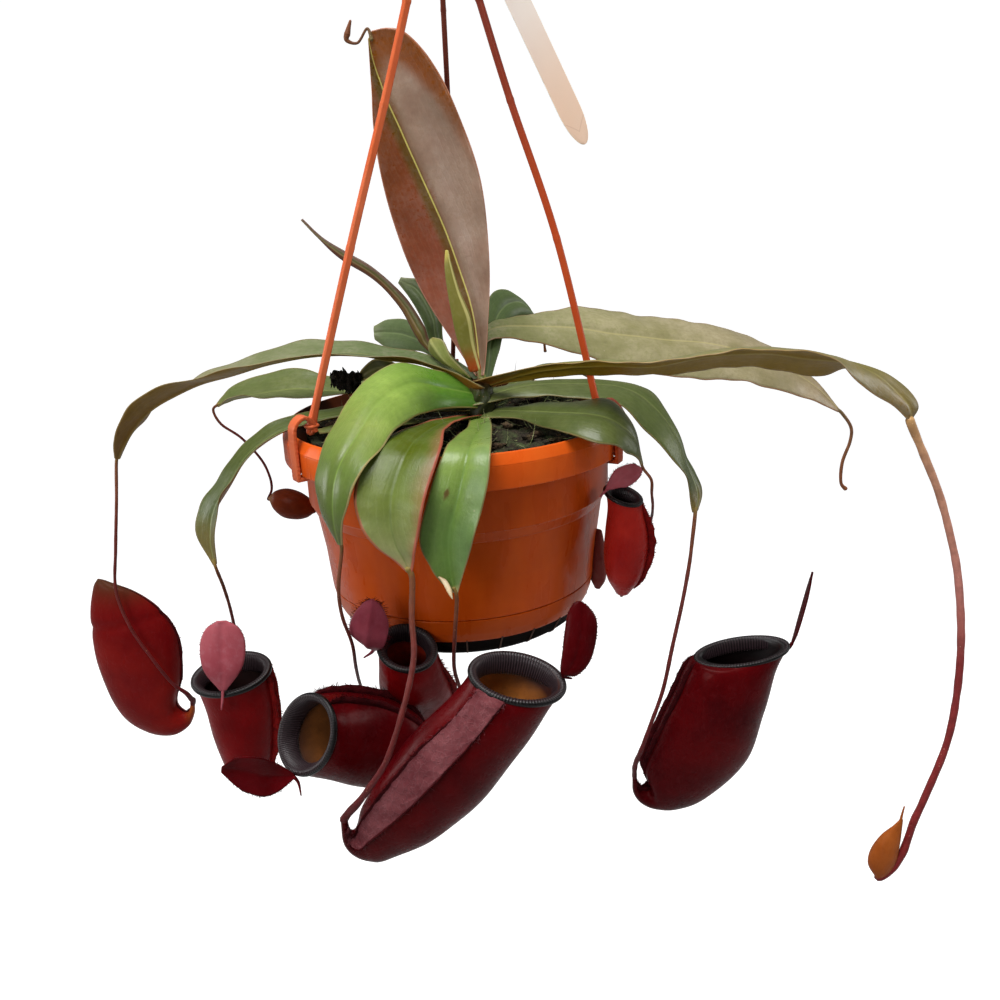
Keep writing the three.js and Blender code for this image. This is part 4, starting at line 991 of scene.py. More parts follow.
# ---- materials: effects that several share ----
@group("Blade pattern", {"Midrib width": 1.0, "Margin width": 0.6, "Vein spacing": 3.0},
       ("Midrib", "Margin", "Veins", "Across", "Along"))
def blade_pattern(nodes, given):
    across, along = nodes.across_and_along("Share")
    from_rib, run = nodes.across_and_along("Span")
    distance = nodes.size_of(from_rib)
    midrib = nodes.span(distance, nodes.times(given["Midrib width"], 0.35),
                        given["Midrib width"], 1, 0)
    off_middle = nodes.size_of(nodes.less(across, 0.5))
    left_over = nodes.less(0.5, off_middle)
    to_edge = nodes.over(nodes.times(distance, left_over), nodes.math("MAXIMUM", off_middle, 0.05))
    margin = nodes.span(to_edge, nodes.times(given["Margin width"], 0.5),
                        given["Margin width"], 1, 0)
    margin = nodes.times(margin, nodes.math("GREATER_THAN", off_middle, 0.25))
    wander = nodes.noise(nodes.millimetres(), 0.09, 2.0)
    turn = nodes.over(6.2832, given["Vein spacing"])
    parallel = nodes.math("SINE", nodes.times_plus(distance, turn, nodes.times(wander, 6.0)))
    slope = nodes.times_plus(distance, -1.6, run)
    branching = nodes.math("SINE", nodes.times_plus(slope, nodes.times(turn, 0.8),
                                                    nodes.times(wander, 40)))
    faint = nodes.times(nodes.span(branching, 0.5, 1.0), 0.5)
    lines = nodes.plus(nodes.span(parallel, 0.6, 1.0), faint)
    veins = nodes.times(lines, nodes.span(distance, 0.8, 2.2), clamp=True)
    return midrib, margin, veins, across, along


@group("Mottle", {"Patch size": 8.0, "Evenness": 0.12}, ("Patches", "Grain"))
def mottle(nodes, given):
    place = nodes.millimetres()
    scale = nodes.over(1.0, given["Patch size"])
    patches = nodes.noise(place, scale, 4.0, 0.62)
    low = nodes.less(0.5, given["Evenness"])
    high = nodes.plus(0.5, given["Evenness"])
    grain = nodes.noise(place, nodes.times(scale, 9.0), 3.0, 0.6)
    return nodes.span(patches, low, high), grain


def mottled(nodes, patch_size, evenness):
    """Mottling on a finish: its patches and its grain."""
    return nodes.place(mottle, Patch_size=patch_size, Evenness=evenness)


@group("Specks", {"Spacing": 2.0, "Size": 0.16}, ("Specks",))
def specks(nodes, given):
    scale = nodes.over(1.0, given["Spacing"])
    distance = nodes.add("TexVoronoi", {"Vector": nodes.millimetres(), "Scale": scale}, "Distance")
    pick = nodes.noise(nodes.millimetres(), nodes.times(scale, 0.7), 2.0)
    dots = nodes.span(distance, nodes.times(given["Size"], 0.5), given["Size"], 1, 0)
    return (nodes.times(dots, nodes.span(pick, 0.5, 0.62)),)


@group("Fine creases", {"Spacing": 1.6, "Length": 14.0, "Width": 0.1}, ("Creases",))
def creases(nodes, given):
    """Thin broken lines that run up a cup or a lid."""
    across = nodes.across_and_along("Share")[0]
    run = nodes.across_and_along("Span")[1]
    place = nodes.tree.nodes.new("ShaderNodeCombineXYZ")
    around_mm = nodes.times(across, 66.0)
    bend = nodes.noise(nodes.millimetres(), 0.12, 2.0)
    nodes.put(place.inputs[0], nodes.over(nodes.times_plus(bend, 9.0, around_mm), given["Spacing"]))
    nodes.put(place.inputs[1], nodes.over(run, given["Length"]))
    cells = nodes.add("TexVoronoi", {"Vector": place.outputs[0], "Scale": 1.0}, "Distance",
                      feature="DISTANCE_TO_EDGE", voronoi_dimensions="2D")
    lines = nodes.span(cells, 0.0, given["Width"], 1, 0)
    broken = nodes.span(nodes.noise(nodes.millimetres(), 0.35, 2.0), 0.42, 0.6)
    return (nodes.times(lines, broken),)


@group("Wrinkles", {"Spacing": 1.4, "Width": 0.12}, ("Wrinkles",))
def wrinkles(nodes, given):
    """A net of fine raised lines, as in thin skin that has shrunk a little."""
    drift = nodes.add("TexNoise", {"Vector": nodes.millimetres(), "Scale": 0.35, "Detail": 2.0},
                      "Color")
    place = nodes.tree.nodes.new("ShaderNodeVectorMath")
    place.operation = "MULTIPLY_ADD"
    nodes.put(place.inputs[0], drift)
    nodes.put(place.inputs[1], (4.0, 4.0, 4.0))
    nodes.put(place.inputs[2], nodes.millimetres())
    scale = nodes.over(1.0, given["Spacing"])
    cells = nodes.add("TexVoronoi", {"Vector": place.outputs[0], "Scale": scale}, "Distance",
                      feature="DISTANCE_TO_EDGE")
    return (nodes.span(cells, 0.0, given["Width"], 1, 0),)


@group("Moulded plastic", {"Streak length": 30.0, "Scuff size": 3.0},
       ("Streaks", "Scuffs", "Waves"))
def moulded(nodes, given):
    upright = nodes.over(1.0, given["Streak length"])
    place = nodes.tree.nodes.new("ShaderNodeSeparateXYZ")
    nodes.put(place.inputs[0], nodes.millimetres())
    squeezed = nodes.tree.nodes.new("ShaderNodeCombineXYZ")
    nodes.put(squeezed.inputs[0], nodes.times(place.outputs[0], 0.14))
    nodes.put(squeezed.inputs[1], nodes.times(place.outputs[1], 0.14))
    nodes.put(squeezed.inputs[2], nodes.times(place.outputs[2], upright))
    streaks = nodes.noise(squeezed.outputs[0], 1.0, 3.0, 0.5)
    scale = nodes.over(1.0, given["Scuff size"])
    scuffs = nodes.span(nodes.noise(nodes.millimetres(), scale, 5.0, 0.7), 0.56, 0.72)
    rolling = nodes.noise(nodes.millimetres(), 0.06, 1.0, 0.4)
    return nodes.span(streaks, 0.3, 0.7), scuffs, rolling


# ---- materials: the plant ----
VEIN_STRENGTH = 0.07


def leaf_finish(name, stops, patch, rib, margin, side=None, patchiness=0.45, roughness=0.42,
                spots=0.0, coat=0.1, bloom_and_sheen=None, scar=None, halo=None, tip=None, ragged=0.16):
    """A side of a blade.

    stops are its colours from foot to tip, and patch is the second colour of its mottle.
    rib and margin are colour, width and strength.
    side is the colour, strength, start and end of a tint towards the right edge, and ragged is
    how far the mottle breaks that tint up.
    bloom is the colour and strength of a pale cloud over the whole side: painted sheen.
    scar is where a dead brown spot lies, across and along.
    halo is the colour, width and strength of a band beside the midrib.
    tip is a colour that comes in between two places near the tip, with how far it comes down
    the right edge."""
    nodes = Finish(name)
    midrib, edge, lines, across, along = nodes.place(blade_pattern, Midrib_width=rib[1],
                                                     Margin_width=margin[1], Vein_spacing=2.6)
    patches, grain = mottled(nodes, 16.0, 0.2)
    fine = mottled(nodes, 2.6, 0.25)[0]
    colour = nodes.ramp(along, stops)
    if side:
        tint, strength, start, end = side
        reach = nodes.times_plus(patches, ragged, nodes.less(across, 0.5 * ragged))
        colour = nodes.mix(nodes.span(reach, start, end, 0, strength), colour, tint)
    if tip:
        lean = nodes.span(across, 0.7, 1.0, 0, tip[3])
        colour = nodes.mix(nodes.span(nodes.plus(along, lean), tip[1], tip[2]), colour, tip[0])
    if halo:
        band = nodes.place(blade_pattern, Midrib_width=halo[1])[0]
        left_side = nodes.span(across, 0.49, 0.53, halo[2], 0.3 * halo[2])
        colour = nodes.tint(colour, halo[0], band, left_side)
    colour = nodes.tint(colour, patch, patches, patchiness)
    darker = nodes.mix(1.0, colour, "#b4b4a8", "MULTIPLY")
    colour = nodes.tint(colour, darker, nodes.times(fine, grain), 0.5)
    # painted sheen: a pale cloud laid over the side by the patches and grain
    if bloom_and_sheen:
        sheen_cloud = nodes.times(nodes.less(1.0, patches), bloom_and_sheen[1])
        colour = nodes.mix(nodes.times(sheen_cloud, nodes.span(grain, 0.3, 0.6)), colour, bloom_and_sheen[0])
    paler = nodes.mix(1.0, colour, "#6f6c50", "SCREEN")
    colour = nodes.tint(colour, paler, lines, VEIN_STRENGTH)
    colour = nodes.tint(colour, rib[0], midrib, rib[2])
    colour = nodes.tint(colour, margin[0], edge, margin[2])
    if spots:
        dots = nodes.place(specks, Spacing=4.0, Size=0.1)[0]
        colour = nodes.tint(colour, "#d9c9b0", dots, spots)
    if scar:
        off = [nodes.math("POWER", nodes.times(nodes.less(value, middle), reach), 2.0)
               for value, middle, reach in ((across, scar[0], 13.0), (along, scar[1], 42.0))]
        distance = nodes.math("SQRT", nodes.plus(*off))
        spread = nodes.plus(distance, nodes.times(grain, 0.9))
        colour = nodes.mix(nodes.span(spread, 0.7, 1.3, 0.85, 0), colour, "#5c3a1c")
    height = nodes.times_plus(lines, -0.35, nodes.times_plus(fine, 0.5, grain))
    gloss = nodes.span(nodes.plus(patches, grain), 0.2, 1.6, roughness - 0.07, roughness + 0.1)
    return nodes.shade(colour, gloss, nodes.bump(height, 0.3, 0.25),
                       {"Coat Weight": coat, "Coat Roughness": 0.25, "Specular IOR Level": 0.28})


def flesh_finish(name, dark, bright, bloom_and_sheen, crease="#8c3c40", roughness=0.34, gradient=0.0,
                 crease_strength=0.06, gleam=0.18, base=None, tip=None, stripe=None):
    """The skin of a pitcher, a bud or a lid. It runs from dark to bright in patches, with fine
    creases, and with a gradient it turns bright towards its base. base and tip are the colours
    of its two ends, and stripe is the place, half width and colour of a line up it."""
    nodes = Finish(name)
    patches, grain = mottled(nodes, 26.0, 0.3)
    fuzz = mottled(nodes, 1.6, 0.3)[0]
    lines = nodes.place(creases)[0]
    along = nodes.along()
    low = nodes.span(along, 0.0, 0.75, 1, 0)
    spread = nodes.times_plus(low, gradient, nodes.times(patches, 1 - gradient), clamp=True)
    colour = nodes.mix(spread, dark, bright)
    if base:
        colour = nodes.mix(nodes.span(along, 0.0, 0.22, 0.85, 0), colour, base)
    if tip:
        colour = nodes.mix(nodes.span(along, 0.8, 0.97, 0, 0.8), colour, tip)
    if stripe:
        across = nodes.across_and_along("Share")[0]
        off = nodes.size_of(nodes.less(across, stripe[0]))
        colour = nodes.mix(nodes.span(off, 0.4 * stripe[1], stripe[1], 0.9, 0), colour, stripe[2])
    colour = nodes.tint(colour, bloom_and_sheen, nodes.span(grain, 0.45, 0.75), 0.25)
    colour = nodes.tint(colour, crease, lines, crease_strength)
    height = nodes.times_plus(lines, -0.5, nodes.times_plus(fuzz, 0.5, grain))
    gloss = nodes.span(grain, 0.3, 0.75, roughness - 0.06, roughness + 0.14)
    return nodes.shade(colour, gloss, nodes.bump(height, 0.35, 0.25),
                       {"Coat Weight": 0.05, "Coat Roughness": 0.18, "Specular IOR Level": gleam,
                        "Specular Tint": "#b05850"})


def stalk_finish(name, stops, fleck="#c98f6a"):
    """The skin of a tendril or a stalk: colours along it, in fine rough flecks."""
    nodes = Finish(name)
    patches, grain = mottled(nodes, 4.0, 0.15)
    dots = nodes.place(specks, Spacing=1.5, Size=0.2)[0]
    colour = nodes.ramp(nodes.along(), stops)
    darker = nodes.mix(1.0, colour, "#8c7a74", "MULTIPLY")
    colour = nodes.tint(colour, darker, patches, 0.35)
    colour = nodes.tint(colour, fleck, dots, 0.4)
    height = nodes.times_plus(dots, 0.8, grain)
    return nodes.shade(colour, nodes.span(grain, 0.3, 0.7, 0.35, 0.57),
                       nodes.bump(height, 0.6, 0.3),
                       {"Coat Weight": 0.05, "Specular IOR Level": 0.25})


def rim_finish(name, edge, crest_tone, band, teeth):
    """The ribbed rim: its colour goes from the rolled edge over the band to the teeth."""
    nodes = Finish(name)
    across, along = nodes.across_and_along("Share")
    grain = nodes.place(mottle, Patch_size=5.0)[1]
    ribs = nodes.math("COSINE", nodes.times(along, 2 * math.pi))
    crest = nodes.span(ribs, -0.2, 0.9)
    colour = nodes.ramp(across, ((0.0, edge), (0.28, edge), (0.36, crest_tone), (0.46, band),
                                 (0.68, band), (0.74, teeth), (0.8, teeth), (0.84, edge)))
    valley = nodes.mix(1.0, colour, "#80767a", "MULTIPLY")
    colour = nodes.mix(crest, valley, colour)
    gloss = nodes.span(grain, 0.3, 0.7, 0.3, 0.46)
    height = nodes.times_plus(crest, 0.6, nodes.times(grain, 0.3))
    return nodes.shade(colour, gloss, nodes.bump(height, 0.35, 0.12),
                       {"Coat Weight": 0.08, "Coat Roughness": 0.2, "Specular IOR Level": 0.3})


def cup_finish(name, deep, warm, glow):
    """The waxy inside of a pitcher with fine glands: warm amber high up, dark below as painted
    shade deep inside, and dark again just under the mouth as the painted shadow of the rim.
    """
    nodes = Finish(name)
    along = nodes.along()
    patches, grain = mottled(nodes, 6.0, 0.2)
    glands = nodes.place(specks, Spacing=1.1, Size=0.25)[0]
    # painted shade: the deep colour at both ends of this ramp stands in for the shade deep in the
    # cup and the shadow under the rim
    colour = nodes.ramp(along, ((0.3, deep), (0.5, warm), (0.76, glow), (0.86, warm), (0.92, deep)))
    colour = nodes.tint(colour, deep, patches, 0.35)
    colour = nodes.tint(colour, "#3a1408", glands, 0.3)
    return nodes.shade(colour, nodes.span(grain, 0.3, 0.7, 0.4, 0.6),
                       nodes.bump(nodes.plus(grain, glands), 0.3, 0.2), {"Coat Weight": 0.1})


def fringe_finish(name, colour_low, colour_high, line="#2a0d12", line_strength=0.3, patch_size=3.0,
                  gleam=0.12):
    """The thin fringed wings and their hairs, with a net of wrinkles."""
    nodes = Finish(name)
    patches, grain = mottled(nodes, patch_size, 0.3)
    colour = nodes.mix(patches, colour_low, colour_high)
    lines = nodes.place(wrinkles, Spacing=0.75 * patch_size ** 0.5, Width=0.09)[0]
    colour = nodes.tint(colour, line, lines, line_strength)
    return nodes.shade(colour, nodes.span(grain, 0.3, 0.7, 0.42, 0.62),
                       nodes.bump(nodes.times_plus(grain, 0.8, lines), 0.5, 0.3),
                       {"Specular IOR Level": gleam, "Specular Tint": "#c07870"})


# ---- materials: the holder ----
def plastic_finish(name, colour, light, shade_colour, dust, roughness=0.3, coat=0.08, wave=0.4,
                   gleam=0.28, start=None):
    """Thin glossy moulded plastic with flow streaks, faint scuffs and dust. start is (colour,
    share) where a length of it begins in another tone."""
    nodes = Finish(name)
    flow, scuffs, rolling = nodes.place(moulded, Streak_length=34.0, Scuff_size=2.6)
    patches = mottled(nodes, 16.0, 0.25)[0]
    if start:
        along = nodes.along()
        colour = nodes.mix(nodes.span(along, start[1] - 0.25, start[1] + 0.15), start[0], colour)
        light = nodes.mix(0.2, colour, light)
    tone = nodes.mix(nodes.times(flow, 0.5), colour, light)
    tone = nodes.tint(tone, shade_colour, patches, 0.35)
    tone = nodes.tint(tone, dust, scuffs, 0.015)
    gloss = nodes.span(flow, 0.0, 1.0, roughness - 0.04, roughness + 0.06)
    height = nodes.times(rolling, 5.0)
    return nodes.shade(tone, gloss, nodes.bump(height, wave, 0.5),
                       {"Coat Weight": coat, "Coat Roughness": 0.12, "Specular IOR Level": gleam,
                        "Specular Tint": "#f0a878"})


def label_finish(name):
    """Thin matt plastic card, left bare, with a faint outline near its tip."""
    nodes = Finish(name)
    across, along = nodes.across_and_along("Share")
    patches, grain = mottled(nodes, 14.0, 0.2)
    tone = nodes.mix(nodes.span(along, 0.45, 0.9), "#f0e4da", "#f2cfb4")
    tone = nodes.tint(tone, "#e8cfbc", patches, 0.25)
    off_middle = nodes.size_of(nodes.less(across, 0.5))
    notch = nodes.times_plus(off_middle, -0.09, 0.955)
    line = nodes.span(nodes.size_of(nodes.less(along, notch)), 0.0, 0.004, 1, 0)
    tone = nodes.tint(tone, "#c79a80", line, 0.4)
    rim = nodes.span(off_middle, 0.46, 0.5)
    tone = nodes.tint(tone, "#fff2e4", rim, 0.5)
    return nodes.shade(tone, nodes.span(grain, 0.3, 0.7, 0.38, 0.5), nodes.bump(grain, 0.2, 0.1),
                       {"Coat Weight": 0.1})


def earth_finish(name, dark, light, moss, mossiness):
    """Potting mix, bark crumbs or moss."""
    nodes = Finish(name)
    patches, grain = mottled(nodes, 5.0, 0.14)
    green, fine = mottled(nodes, 17.0, 0.08)
    tone = nodes.mix(nodes.span(grain, 0.35, 0.65), dark, light)
    tone = nodes.tint(tone, moss, nodes.times(green, patches), mossiness)
    grit = nodes.place(specks, Spacing=1.4, Size=0.22)[0]
    tone = nodes.tint(tone, "#8a7a60", grit, 0.5)
    height = nodes.plus(nodes.times(patches, 1.5), nodes.plus(grain, fine))
    return nodes.shade(tone, nodes.span(grain, 0.3, 0.7, 0.75, 0.95),
                       nodes.bump(height, 0.9, 0.8), {"Specular IOR Level": 0.25})


def plain_finish(name, tone, roughness):
    """The stage: pale matt paper, lit through from behind so that it looks nearly white."""
    nodes = Finish(name)
    grain = nodes.noise(nodes.millimetres(), 0.01, 2.0)
    colour = nodes.mix(nodes.times(grain, 0.05), tone, "#dfdfdf")
    glow = nodes.times(nodes.add("LightPath", output="Is Camera Ray"), 0.85)
    return nodes.shade(colour, roughness, nodes.bump(grain, 0.05, 0.2),
                       {"Emission Color": "#ffffff", "Emission Strength": glow,
                        "Specular IOR Level": 0.1})


# ---- the pot ----
ORANGE = plastic_finish("pot_plastic", "#c64a0c", "#d45a12", "#b04006", "#d8905c")
TRAY_ORANGE = plastic_finish("tray_plastic", "#b8460c", "#c85412", "#9a3806", "#d08c60")
# painted shade: the tray's foot and its ribs get dark colours in place of the shade under the tray
TRAY_FOOT_SHADE = plastic_finish("tray_foot_painted_shade", "#0c0908", "#140f0d", "#070606", "#3a2e28",
                           roughness=0.7, coat=0.0, gleam=0.03)
TRAY_RIBS = plastic_finish("tray_rib_painted_shade", "#54403a", "#6a564c", "#2e2420", "#8a7a70",
                           roughness=0.6, coat=0.0, gleam=0.1)
# painted light: the collar is a paler copy of the pot's orange, as light from above falls on it
LIT_COLLAR_ORANGE = plastic_finish("collar_painted_light_plastic", "#dc5818", "#e86a22", "#c84e10", "#e8a878")
# the pot's inside wall above the mix is given a much darker plastic
DARK_INSIDE_ORANGE = plastic_finish("dark_inside_plastic", "#3c1a0c", "#5c2a14", "#140c08", "#5c4a34",
                                roughness=0.6, coat=0.0, gleam=0.1)

POT_OUTLINE = (
    (0, -78), (47.5, -78), (51.6, -75), (53.2, -68.1), (55.7, -68.1), (57.2, -52), (59.6, -35.6),
    (60.1, -35.3), (61.7, -31.4), (62.2, -31), (62.2, -8), (68.4, -4.8), (69.9, -4.6), (70, -4),
    (67.9, -0.1), (67, 0), (65.6, -3), (60.8, -9.5), (60.8, -31), (58.2, -36), (54.3, -64),
    (51, -69), (50, -74.2), (46.8, -76.4), (0, -76.4))
SKIRT_OUTLINE = ((68.4, -4.2), (68.4, -13), (70, -13), (70, -4.2))
TRAY_OUTLINE = (
    (0, -86), (46.5, -86), (49.3, -84), (51.4, -80.4), (53.2, -77.6), (54.4, -74.4), (55.7, -68.4),
    (53.6, -68.4), (52.1, -75.4), (48.2, -79.4), (46, -83.8), (0, -83.8))


def warp(rings):
    """The slight unevenness of a thin moulded wall."""
    outward = rings * (1, 1, 0) / np.maximum(np.linalg.norm(rings[..., :2], axis=-1), 5)[..., None]
    return outward * (0.35 * waves(rings, 60, 5))[..., None]


def make_pot():
    """The pot, with its collar painted paler as lit from above, and darker inside."""
    shape = Shape()
    outline = rounded(POT_OUTLINE, 0.5)
    inside = np.arange(len(outline)) > np.argmax(outline[:, 1])
    # slot 1, the collar, is painted paler as lit from above; slot 2, the inside wall, is much
    # darker
    slots = np.where(inside, 2, (outline[:, 1] > -9).astype(int))[None]
    lathe(shape, outline, ripple=warp, slots=slots)
    for start, end in SKIRT_RUNS:
        lathe(shape, rounded(SKIRT_OUTLINE, 0.45), start, end, steps=96, ripple=warp, slots=1)
    make("pot_wall", shape, [ORANGE, LIT_COLLAR_ORANGE, DARK_INSIDE_ORANGE], ["pot"],
         sharp=40)


def make_tray():
    """The drip tray, with a foot and ribs under it that are painted dark as the shade under the
    tray.
    """
    shape = Shape()
    outline = rounded(TRAY_OUTLINE, 0.6)
    # below FOOT_TOP the tray takes the dark foot colour, painted shade
    lathe(shape, outline, ripple=warp, slots=(outline[:, 1] < FOOT_TOP).astype(int)[None])
    radii = np.linspace(47, 53.2, 12)
    heights = np.interp(radii, [46.5, 49.3, 51.4, 53.2], [-85.9, -83.9, -80.3, -77.5])
    for azimuth in np.arange(0, 360, 15):
        line = polar(azimuth, radii, heights)
        sweep(shape, line, circle(8, 0.35), facing=(0, 0, 1), slots=2)
    make("tray_wall", shape, [TRAY_ORANGE, TRAY_FOOT_SHADE, TRAY_RIBS], ["drip_tray"],
         sharp=40)


def make_potting_mix():
    """A rough bed of mix with bark crumbs, moss and a few dry strands on it."""
    rng = np.random.default_rng(11)
    shape = Shape()
    radii = np.linspace(0.5, SOIL_RADIUS, 70)[:, None]
    azimuths = round_angles(200, 360)[None]
    top = polar(azimuths, radii, SOIL_TOP)
    heap = 1.6 * np.exp(-((np.linalg.norm(top[..., :2] - STEM_AT, axis=-1) / 26) ** 2))
    rough = 2.2 * waves(top, 9, 21) + 1.4 * waves(top, 3.5, 22)
    fade = np.clip((60.6 - radii) / 4, 0, 1)
    top[..., 2] += (heap + rough) * fade - 0.4
    wall = [polar(azimuths[0], radius, height) for radius, height in
            ((60.4, -6), (60.4, BAND_BOTTOM), (57.6, -37), (53.6, -62), (50.2, -70), (48, -75.6),
             (20, -75.8))]
    shape.skin(np.concatenate([top, np.array(wall)]))
    crumbs, strands = 240, 260
    for k in range(crumbs):
        azimuth, radius = rng.uniform(0, 360), 58 * math.sqrt(rng.uniform(0.03, 1))
        size = rng.uniform(1.2, 4.2) * np.array([1.3, 1, 0.6])
        place = polar(azimuth, radius, SOIL_TOP + rng.uniform(0, 1.6))
        lump(shape, place, size, 100 + k, slots=1 if rng.uniform() < 0.55 else 0)
    azimuths, reach = rng.uniform(0, 360, strands), 57 * np.sqrt(rng.uniform(0.03, 1, strands))
    roots = polar(azimuths, reach, SOIL_TOP + 0.5)
    directions = rng.normal(size=(strands, 3)) * (1, 1, 0.35) + (0, 0, 0.35)
    hairs(shape, roots, directions, rng.uniform(4, 13, strands), 0.28, rng, bend=0.4, slots=2)
    looks = [earth_finish("potting_mix", "#1a150f", "#40362a", "#4c5a34", 0.7),
             earth_finish("bark_crumbs", "#2a1f15", "#66503a", "#55643a", 0.35),
             earth_finish("moss_strands", "#5a6440", "#b0b080", "#7c8c50", 0.9)]
    make("potting_mix_bed", shape, looks, ["potting_mix"])


# ---- the hanger ----
# painted light and shade: the arms are one plastic in three tones, the left arm paler as lit, the
# right arm dark towards its top where shade falls, and the back arm darker as it lies in shade
ARM_PLASTIC = plastic_finish("arm_plastic", "#d8663c", "#e88058", "#b04c28", "#e8b090",
                             roughness=0.34, wave=0.15)
RIGHT_ARM_PLASTIC = plastic_finish("right_arm_plastic", "#bc4a24", "#cc6034", "#8c3218", "#dba080",
                                   roughness=0.34, wave=0.15, start=("#70302a", 0.5))
SHADED_ARM_PLASTIC = plastic_finish("shaded_arm_plastic", "#78382e", "#8c483a", "#5a2820", "#a87868",
                                  roughness=0.38, wave=0.15)
ARM_PLASTICS = {"left": ARM_PLASTIC, "right": RIGHT_ARM_PLASTIC, "back": SHADED_ARM_PLASTIC}


def rod_section():
    """A round rod with a groove down two sides, as the moulded arms have."""
    groove = 0.24 * hump(np.abs(np.sin(round_angles(36))), 1, 0.16)
    return circle(36) * (1 - groove)[:, None]


def strap_section(half_thick, corner):
    """A flat strap, as wide as the clips are, with rounded corners."""
    half = STRAP_WIDTH / 2
    corners = [(-half_thick, -half), (half_thick, -half), (half_thick, half), (-half_thick, half)]
    return rounded(corners, corner, 4)


def make_hook():
    """The neck rises from the junction, swings out to the right and curls over the rail."""
    shape = Shape()
    line = [JUNCTION, (0, 0, -34), (2, 0, -29)]
    for angle in np.radians(np.arange(-45, 206, 25)):
        reach = HOOK_RADIUS + HOOK_ROD
        line.append((reach * math.cos(angle), 0, reach * math.sin(angle) - HOOK_RADIUS))
    stalk(shape, line, [HOOK_ROD] * 8, sides=28, steps=160)
    boss = [JUNCTION + (0, 0, rise) for rise in np.linspace(-BOSS_RADIUS, BOSS_RADIUS, 25)]
    off_middle = np.linspace(0.1 - BOSS_RADIUS, BOSS_RADIUS - 0.1, 25)
    swell = np.sqrt(np.clip(BOSS_RADIUS**2 - off_middle**2, 0.1, None))
    flutes = circle(40) * (1 - 0.05 * np.cos(10 * round_angles(40)))[:, None]
    sweep(shape, boss, flutes, swell, facing=(1, 0, 0))
    # the hook takes the darker copy of the arm plastic, painted shade
    make("hook_rod", shape, [SHADED_ARM_PLASTIC], ["hanger_hook"], HOOK_SEAT, 50)


def make_arm(side, azimuth, plastic, thickness):
    """A grooved rod down to the rim, and a notched strap that bends over it under the collar."""
    shape = Shape()
    radial = polar(azimuth, 1, 0)
    start = JUNCTION + radial * 2.2 + (0, 0, -4.3)
    bends = [radial * (reach - share * ARM_PULLED_IN.get(side, 0)) + (0, 0, height)
             for share, (reach, height) in zip((0.2, 0.6, 1), ARM_BENDS)]
    foot = [RIM_CENTRE + polar(azimuth, *place) for place in ARM_FOOT]
    path = spline([start, *bends, *foot], np.linspace(0, 1, 260))
    nubs = sum(hump(path[:, 2], height, 0.6) for _, height in ARM_BENDS)
    foot_swell = 0.25 * hump(path[:, 2], path[-1, 2] + 2, 3)
    sweep(shape, path, rod_section(), thickness * (1 + 0.12 * nubs + foot_swell), facing=radial)
    strap = [RIM_CENTRE + polar(azimuth, *place) for place in STRAP_LINE]
    strap = spline(strap, np.linspace(0, 1, 120))
    run = run_along(strap)
    notches = 1 + 0.02 * np.cos(run * 2 * np.pi / 1.7) * (run > 6)
    sweep(shape, strap, strap_section(0.7, 0.35), notches, facing=radial)
    eyelet = RIM_CENTRE + polar(azimuth, *EYELET_AT)
    ring(shape, eyelet, azimuth, 2.2, 0.75, steps=48, sides=10)
    barb = RIM_CENTRE + radial * BARB_RADIUS + (0, 0, COLLAR_BOTTOM - 1.1)
    line = [barb + radial * reach for reach in np.linspace(-2.5, 2.5, 12)]
    sweep(shape, line, strap_section(0.8, 0.4), facing=(0, 0, 1))
    make(f"arm_rod_{side}", shape, [plastic], [f"hanger_arm_{side}"],
         HOOK_SEAT, 50)


def make_label():
    """A bare strip that hangs by its thin neck from a ring on the boss."""
    shape = Shape()
    down = TAG_TIP - TAG_TOP
    length = np.linalg.norm(down)
    down = down / length
    face = unit(np.array([0, -1, 0]) + down * down[1])
    side = np.cross(face, down)
    straight = length - TAG_ROUNDING
    run = np.concatenate([np.linspace(0, TAG_NECK, 40), np.linspace(TAG_NECK + 0.5, straight, 60),
                          straight + TAG_ROUNDING * np.sin(np.linspace(0.03, np.pi / 2, 30))])
    neck = np.interp(run, [0, TAG_NECK / 2, TAG_NECK], [1, 1.4, TAG_HALF_WIDTH])
    tip = np.sqrt(np.clip(1 - np.clip((run - straight) / TAG_ROUNDING, 0, 0.999) ** 2, 0.0005, 1))
    width = neck * tip
    s = np.linspace(-1, 1, 17)
    bow = 0.5 * np.sin(np.pi * run / length)[:, None]
    middle = TAG_TOP + down * run[:, None]
    sheet = middle[:, None] + side * (width[:, None] * s)[..., None]
    sheet = sheet + face * (bow - 0.25 * s**2)[..., None]
    rings = np.concatenate([sheet + face * 0.3, sheet[:, ::-1] - face * 0.3], axis=1)
    u = np.concatenate([s, s[::-1], s[:1]])[None] / 2 + 0.5
    shape.skin(rings, share=(u, (run / length)[:, None]),
               span=(u * 2 * TAG_HALF_WIDTH, run[:, None]))
    ring(shape, (0, 0, TAG_TOP[2] - 0.7), 0, 3.2, 0.7, steps=64, sides=12)
    make("label_strip", shape, [label_finish("label_card")], ["plant_label"],
         HOOK_SEAT, 50)


# ---- the plant ----
def make_stem():
    """The short knobbly stem, with twisting folds round it."""
    shape = Shape()
    heights = np.linspace(SOIL_TOP + 0.2, STEM_TOP, 60)
    angles = round_angles(96, 360)
    turn = np.radians(angles)
    rings = []
    for height in heights:
        folds = 0.5 * np.cos(3 * turn + 0.5 * height) + 0.35 * np.cos(7 * turn - 0.8 * height)
        swell = 2.2 * hump(height, 4, 6)
        rounding = math.sqrt(max(0.05, 1 - max(0, (height - 10.5) / 3.6) ** 2))
        radius = (STEM_RADIUS + swell + folds) * rounding
        rings.append(polar(angles, radius, height) + (*STEM_AT, 0))
    shape.skin(np.array(rings))
    # painted shade: the stem darkens towards its foot, under the leaves
    look = stalk_finish("stem_skin", ((0, "#1c1610"), (0.4, "#2a2c14"), (0.75, "#3c4420"),
                                      (1, "#5a3420")))
    make("stem_skin", shape, [look], ["stem"])


